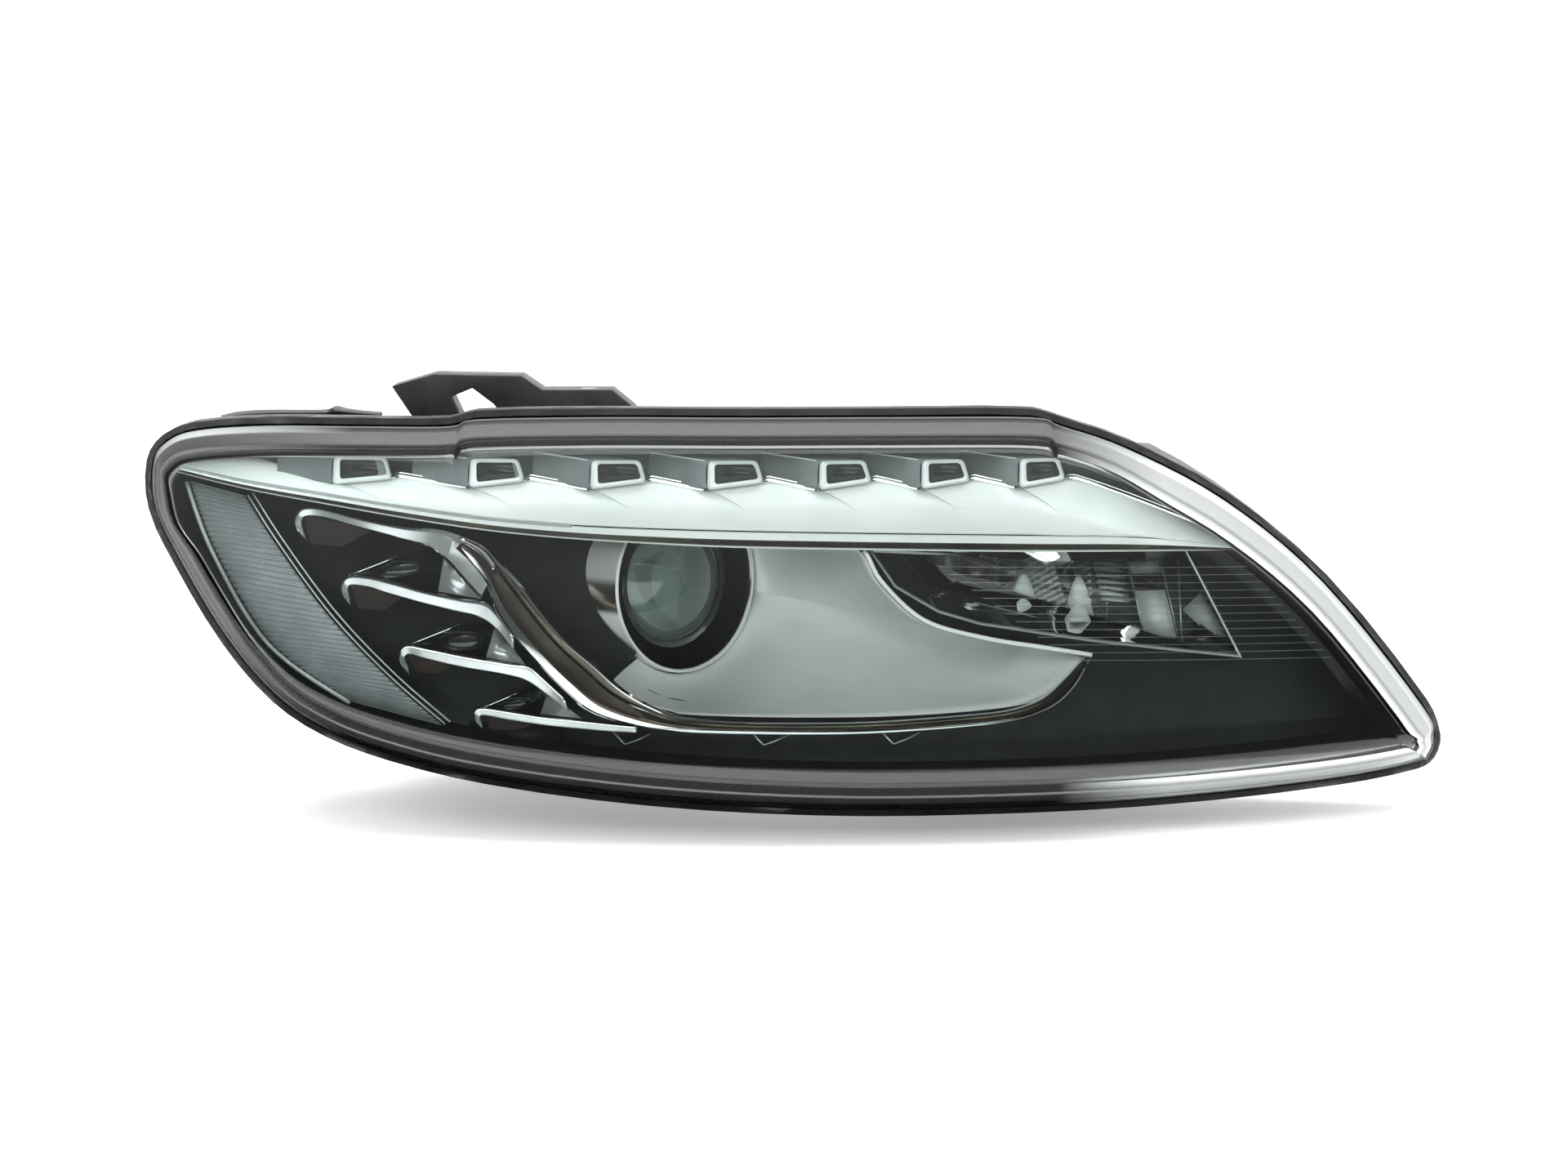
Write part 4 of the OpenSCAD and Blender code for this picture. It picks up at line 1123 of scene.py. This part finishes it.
def make_seal():
    """The lumpy black seal that lies on the housing's outboard shoulder."""
    spine = smooth_path([(-322, 0, 3.4), (-312, 2.4, 3.2), (-296, 3.6, 3.0), (-276, 3.8, 2.8),
                         (-262, 4.0, 2.8),
                         (-256, 4.6, 4.2), (-250, 4.2, 3.2), (-241, 3.6, 2.6), (-230, 2.8, 2.4)], 6)
    net = Net()
    net.tube([[Vector((x / 1000, 0.007 + 0.0012 * a, (z + b) / 1000)) for a, b in circle(14, r)] for x, z,
              r in spine])
    box_mesh(net, [Vector((x, y, z)) for y in (0.0045, 0.0095) for x, z in
                   ((-0.320, -0.0158), (-0.231, -0.0158), (-0.231, 0.002), (-0.320, 0.000))])
    net.make("seal_rope", "piano_black", nodes=["top_seal_strip"], slot="black_rubber", crisp=60)


def smooth_outline(points, n):
    """Cuts each side of an outline into n equal parts."""
    out = []
    for i, p in enumerate(points):
        q = points[(i + 1) % len(points)]
        out += [(lerp(p[0], q[0], k / n), lerp(p[1], q[1], k / n)) for k in range(n)]
    return out


def inset_points(points, d):
    """Moves an outline's points inwards by d along their bisectors."""
    n = len(points)
    area = sum(points[i - 1][0] * points[i][1] - points[i][0] * points[i - 1][1] for i in range(n))
    sign = 1 if area > 0 else -1
    out = []
    for i, (x, z) in enumerate(points):
        (x0, z0), (x1, z1) = points[i - 1], points[(i + 1) % n]
        ax, az = unit2(x - x0, z - z0)
        bx, bz = unit2(x1 - x, z1 - z)
        nx, nz = unit2(-(az + bz) * sign, (ax + bx) * sign)
        cos = max(0.45, nx * -az * sign + nz * ax * sign)
        out.append((x + nx * d / cos, z + nz * d / cos))
    return out


def unit2(x, z):
    """A direction in the plane, scaled to length 1."""
    n = math.hypot(x, z) or 1
    return x / n, z / n


# ---------- Side reflector ----------

def make_side_reflector():
    """The ribbed reflector at the outboard end, with a round edge and two thin ones."""
    left = [(-335, -31), (-318, -70), (-285, -118), (-238, -148)]
    right = [(-302, -38), (-284, -63), (-253, -101), (-220, -133), (-188, -159)]
    ribs, per = 46, 4
    rows = []
    for j in range(ribs * per + 1):
        t = j / (ribs * per)
        a = smooth_at(left, t)
        b = smooth_at(right, t)
        depth = 30 + (0.0, 0.6, 1.9, 1.0)[j % per]
        rows.append([on_face(lerp(a[0], b[0], i / 16), lerp(a[1], b[1], i / 16), depth) for i in range(17)])
    back = moved_back(rows, 0.003)
    net = Net()
    # Every fourth row of faces, one slope of each rib, gets the grey of painted shade.
    tone = [(0, 0, 0, 1)[j % per] for j in range(ribs * per)]
    net.grid([list(line) for line in zip(*rows)], part=tone, flip=True)
    net.grid(back, flip=True)
    net.seal(rows, back)
    net.make("side_reflector_ribs", "clear_reflector recess_grey", nodes=["side_reflector"],
             slot="clear_reflector", crisp=10)
    edge = Net()
    sweep(edge, [(x - 1.6, z - 0.6, 29, 1.3, 1.2) for x, z in smooth_path(left, 8)], circle(8))
    for gap in (2.0, 5.0):
        sweep(edge, [(x + gap, z + gap * 0.4, 29.5, 0.5, 0.5) for x, z in smooth_path(right, 8)], circle(8))
    edge.make("side_reflector_edges", "clear_reflector", slot="clear_reflector")


def smooth_at(points, t):
    """The point a share t of the way along a smooth path."""
    path = smooth_path(points, 12)
    s = t * (len(path) - 1)
    i = min(int(s), len(path) - 2)
    return tuple(lerp(a, b, s - i) for a, b in zip(path[i], path[i + 1]))


# ---------- Projector ----------

def lathe(net, profile, part=0, steps=128):
    """Turns a profile of (radius, v) round the projector's axis."""
    rows = []
    for k in range(steps):
        a = 2 * math.pi * k / steps
        rows.append([optic(r * math.cos(a), v, r * math.sin(a)) for r, v in profile])
    rows.append(rows[0])
    net.grid(rows, part=part)


def make_ring():
    """The projector's ring and its bright lip."""
    net = Net()
    lathe(net, [(48.6, 0.0), (49.6, -0.6), (50.4, 0.2), (51.6, 9), (52.4, 18), (RING_R, 25.8),
                (51.2, 25.9)])
    lathe(net, [(51.2, 25.9), (50.2, 18), (48.9, 7), (48.0, 1.4), (48.6, 0.0)], part=1)
    net.make("projector_ring", "ring_chrome piano_black", nodes=["projector_bezel"], slot="chrome_trim")
    lip = Net()
    lathe(lip, [(48.7, -0.5), (49.3, -1.3), (50.2, -1.1), (50.6, -0.2), (49.6, 0.2), (48.7, -0.5)])
    lip.make("projector_lip", "silver_trim", slot="chrome_trim")


# ---------- Stage ----------

def make_stage():
    """A pale floor that curves up into a backdrop."""
    low = CAD_BOX[0][2] - FLOOR_GAP
    floor = bpy.data.meshes.new("floor")
    turns = [math.radians(a) for a in range(0, 91, 6)]
    rows = [(-6.0, 0.0)] + [(2.2 + 1.6 * math.sin(a), 1.6 * (1 - math.cos(a))) for a in turns]
    rows.append((3.8, 6.0))
    verts, faces = [], []
    for y, z in rows:
        verts += [(-9, y, low - 0.001 + z), (9, y, low - 0.001 + z)]
    for i in range(len(rows) - 1):
        faces.append((2 * i, 2 * i + 1, 2 * i + 3, 2 * i + 2))
    floor.from_pydata(verts, [], faces)
    floor.shade_smooth()
    obj = bpy.data.objects.new("floor", floor)
    bpy.context.scene.collection.objects.link(obj)
    mat, nt, bsdf, _ = shader("pale_floor")
    nt.links.new(ramp(nt, noise(nt, 3, 2), (0.90, 0.90, 0.90), (0.92, 0.92, 0.92)),
                 bsdf.inputs["Base Color"])
    bsdf.inputs["Roughness"].default_value = 0.7
    bsdf.inputs["Specular IOR Level"].default_value = 0.2
    bsdf.inputs["Emission Color"].default_value = (1, 1, 1, 1)
    bsdf.inputs["Emission Strength"].default_value = 0.3
    floor.materials.append(mat)


def area(name, place, aim, size, power):
    """A rectangular area light, aimed at a point."""
    light = bpy.data.lights.new(name, "AREA")
    light.shape = "RECTANGLE"
    light.size, light.size_y = size
    light.energy = power
    obj = bpy.data.objects.new(name, light)
    obj.location = place
    obj.rotation_euler = (Vector(aim) - Vector(place)).to_track_quat("-Z", "Y").to_euler()
    bpy.context.scene.collection.objects.link(obj)
    return obj


def make_lights():
    """A pale room that is dark in front of the lamp, and five soft lights."""
    world = bpy.data.worlds.new("studio")
    world.use_nodes = True
    bpy.context.scene.world = world
    nt = world.node_tree
    back = nt.nodes["Background"]
    _, split = axes(nt, "Generated")
    above = stretch_between(nt, split.outputs["Z"], 0.15, 0.75, 0.0, 1.0)
    behind = stretch_between(nt, split.outputs["Y"], -0.35, 0.4, 0.0, 1.0)
    nt.links.new(ramp(nt, larger(nt, above, behind), (0.11, 0.115, 0.115), (1.0, 1.0, 1.0), 0.0, 1.0),
                 back.inputs["Color"])
    back.inputs["Strength"].default_value = 0.75
    area("top", (0.1, -0.5, 1.9), (0, 0, -0.1), (3.2, 2.2), 56)
    for name, place, power in (("left", (-1.9, -1.3, 0.9), 20), ("right", (2.0, -1.2, 0.7), 17)):
        area(name, place, (0, 0, -0.1), (0.5, 1.5), power).visible_glossy = False
    area("front", (0, -2.6, 1.0), (0, 0, -0.1), (2.2, 1.2), 34).visible_glossy = False
    area("backdrop", (0, 1.2, 2.6), (0, 2.8, 0.2), (3.5, 1.5), 60)


def make_camera():
    """A long lens, a little above the lamp and straight in front of it."""
    cam = bpy.data.cameras.new("camera")
    cam.sensor_width = 36
    cam.lens = 104.17
    cam.clip_end = 60
    obj = bpy.data.objects.new("camera", cam)
    obj.location = VIEW_TARGET + VIEW_AWAY * Vector((0, -math.cos(VIEW_LIFT), math.sin(VIEW_LIFT)))
    obj.rotation_euler = (VIEW_TARGET - obj.location).to_track_quat("-Z", "Y").to_euler()
    bpy.context.scene.collection.objects.link(obj)
    bpy.context.scene.camera = obj


def main():
    """Builds every piece and sets up the studio."""
    bpy.context.scene.view_settings.view_transform = "Standard"
    make_camera()
    make_stage()
    make_lights()
    make_looks()
    dress_cad_nodes()
    make_outer_lens()
    make_bezel()
    make_blade()
    make_recess()
    make_pods()
    make_strip()
    make_turn_trim()
    make_turn_windows()
    make_panel()
    make_corner()
    make_side_reflector()
    make_ring()
    make_lens_lines()
    make_board_cover()
    make_seal()


main()
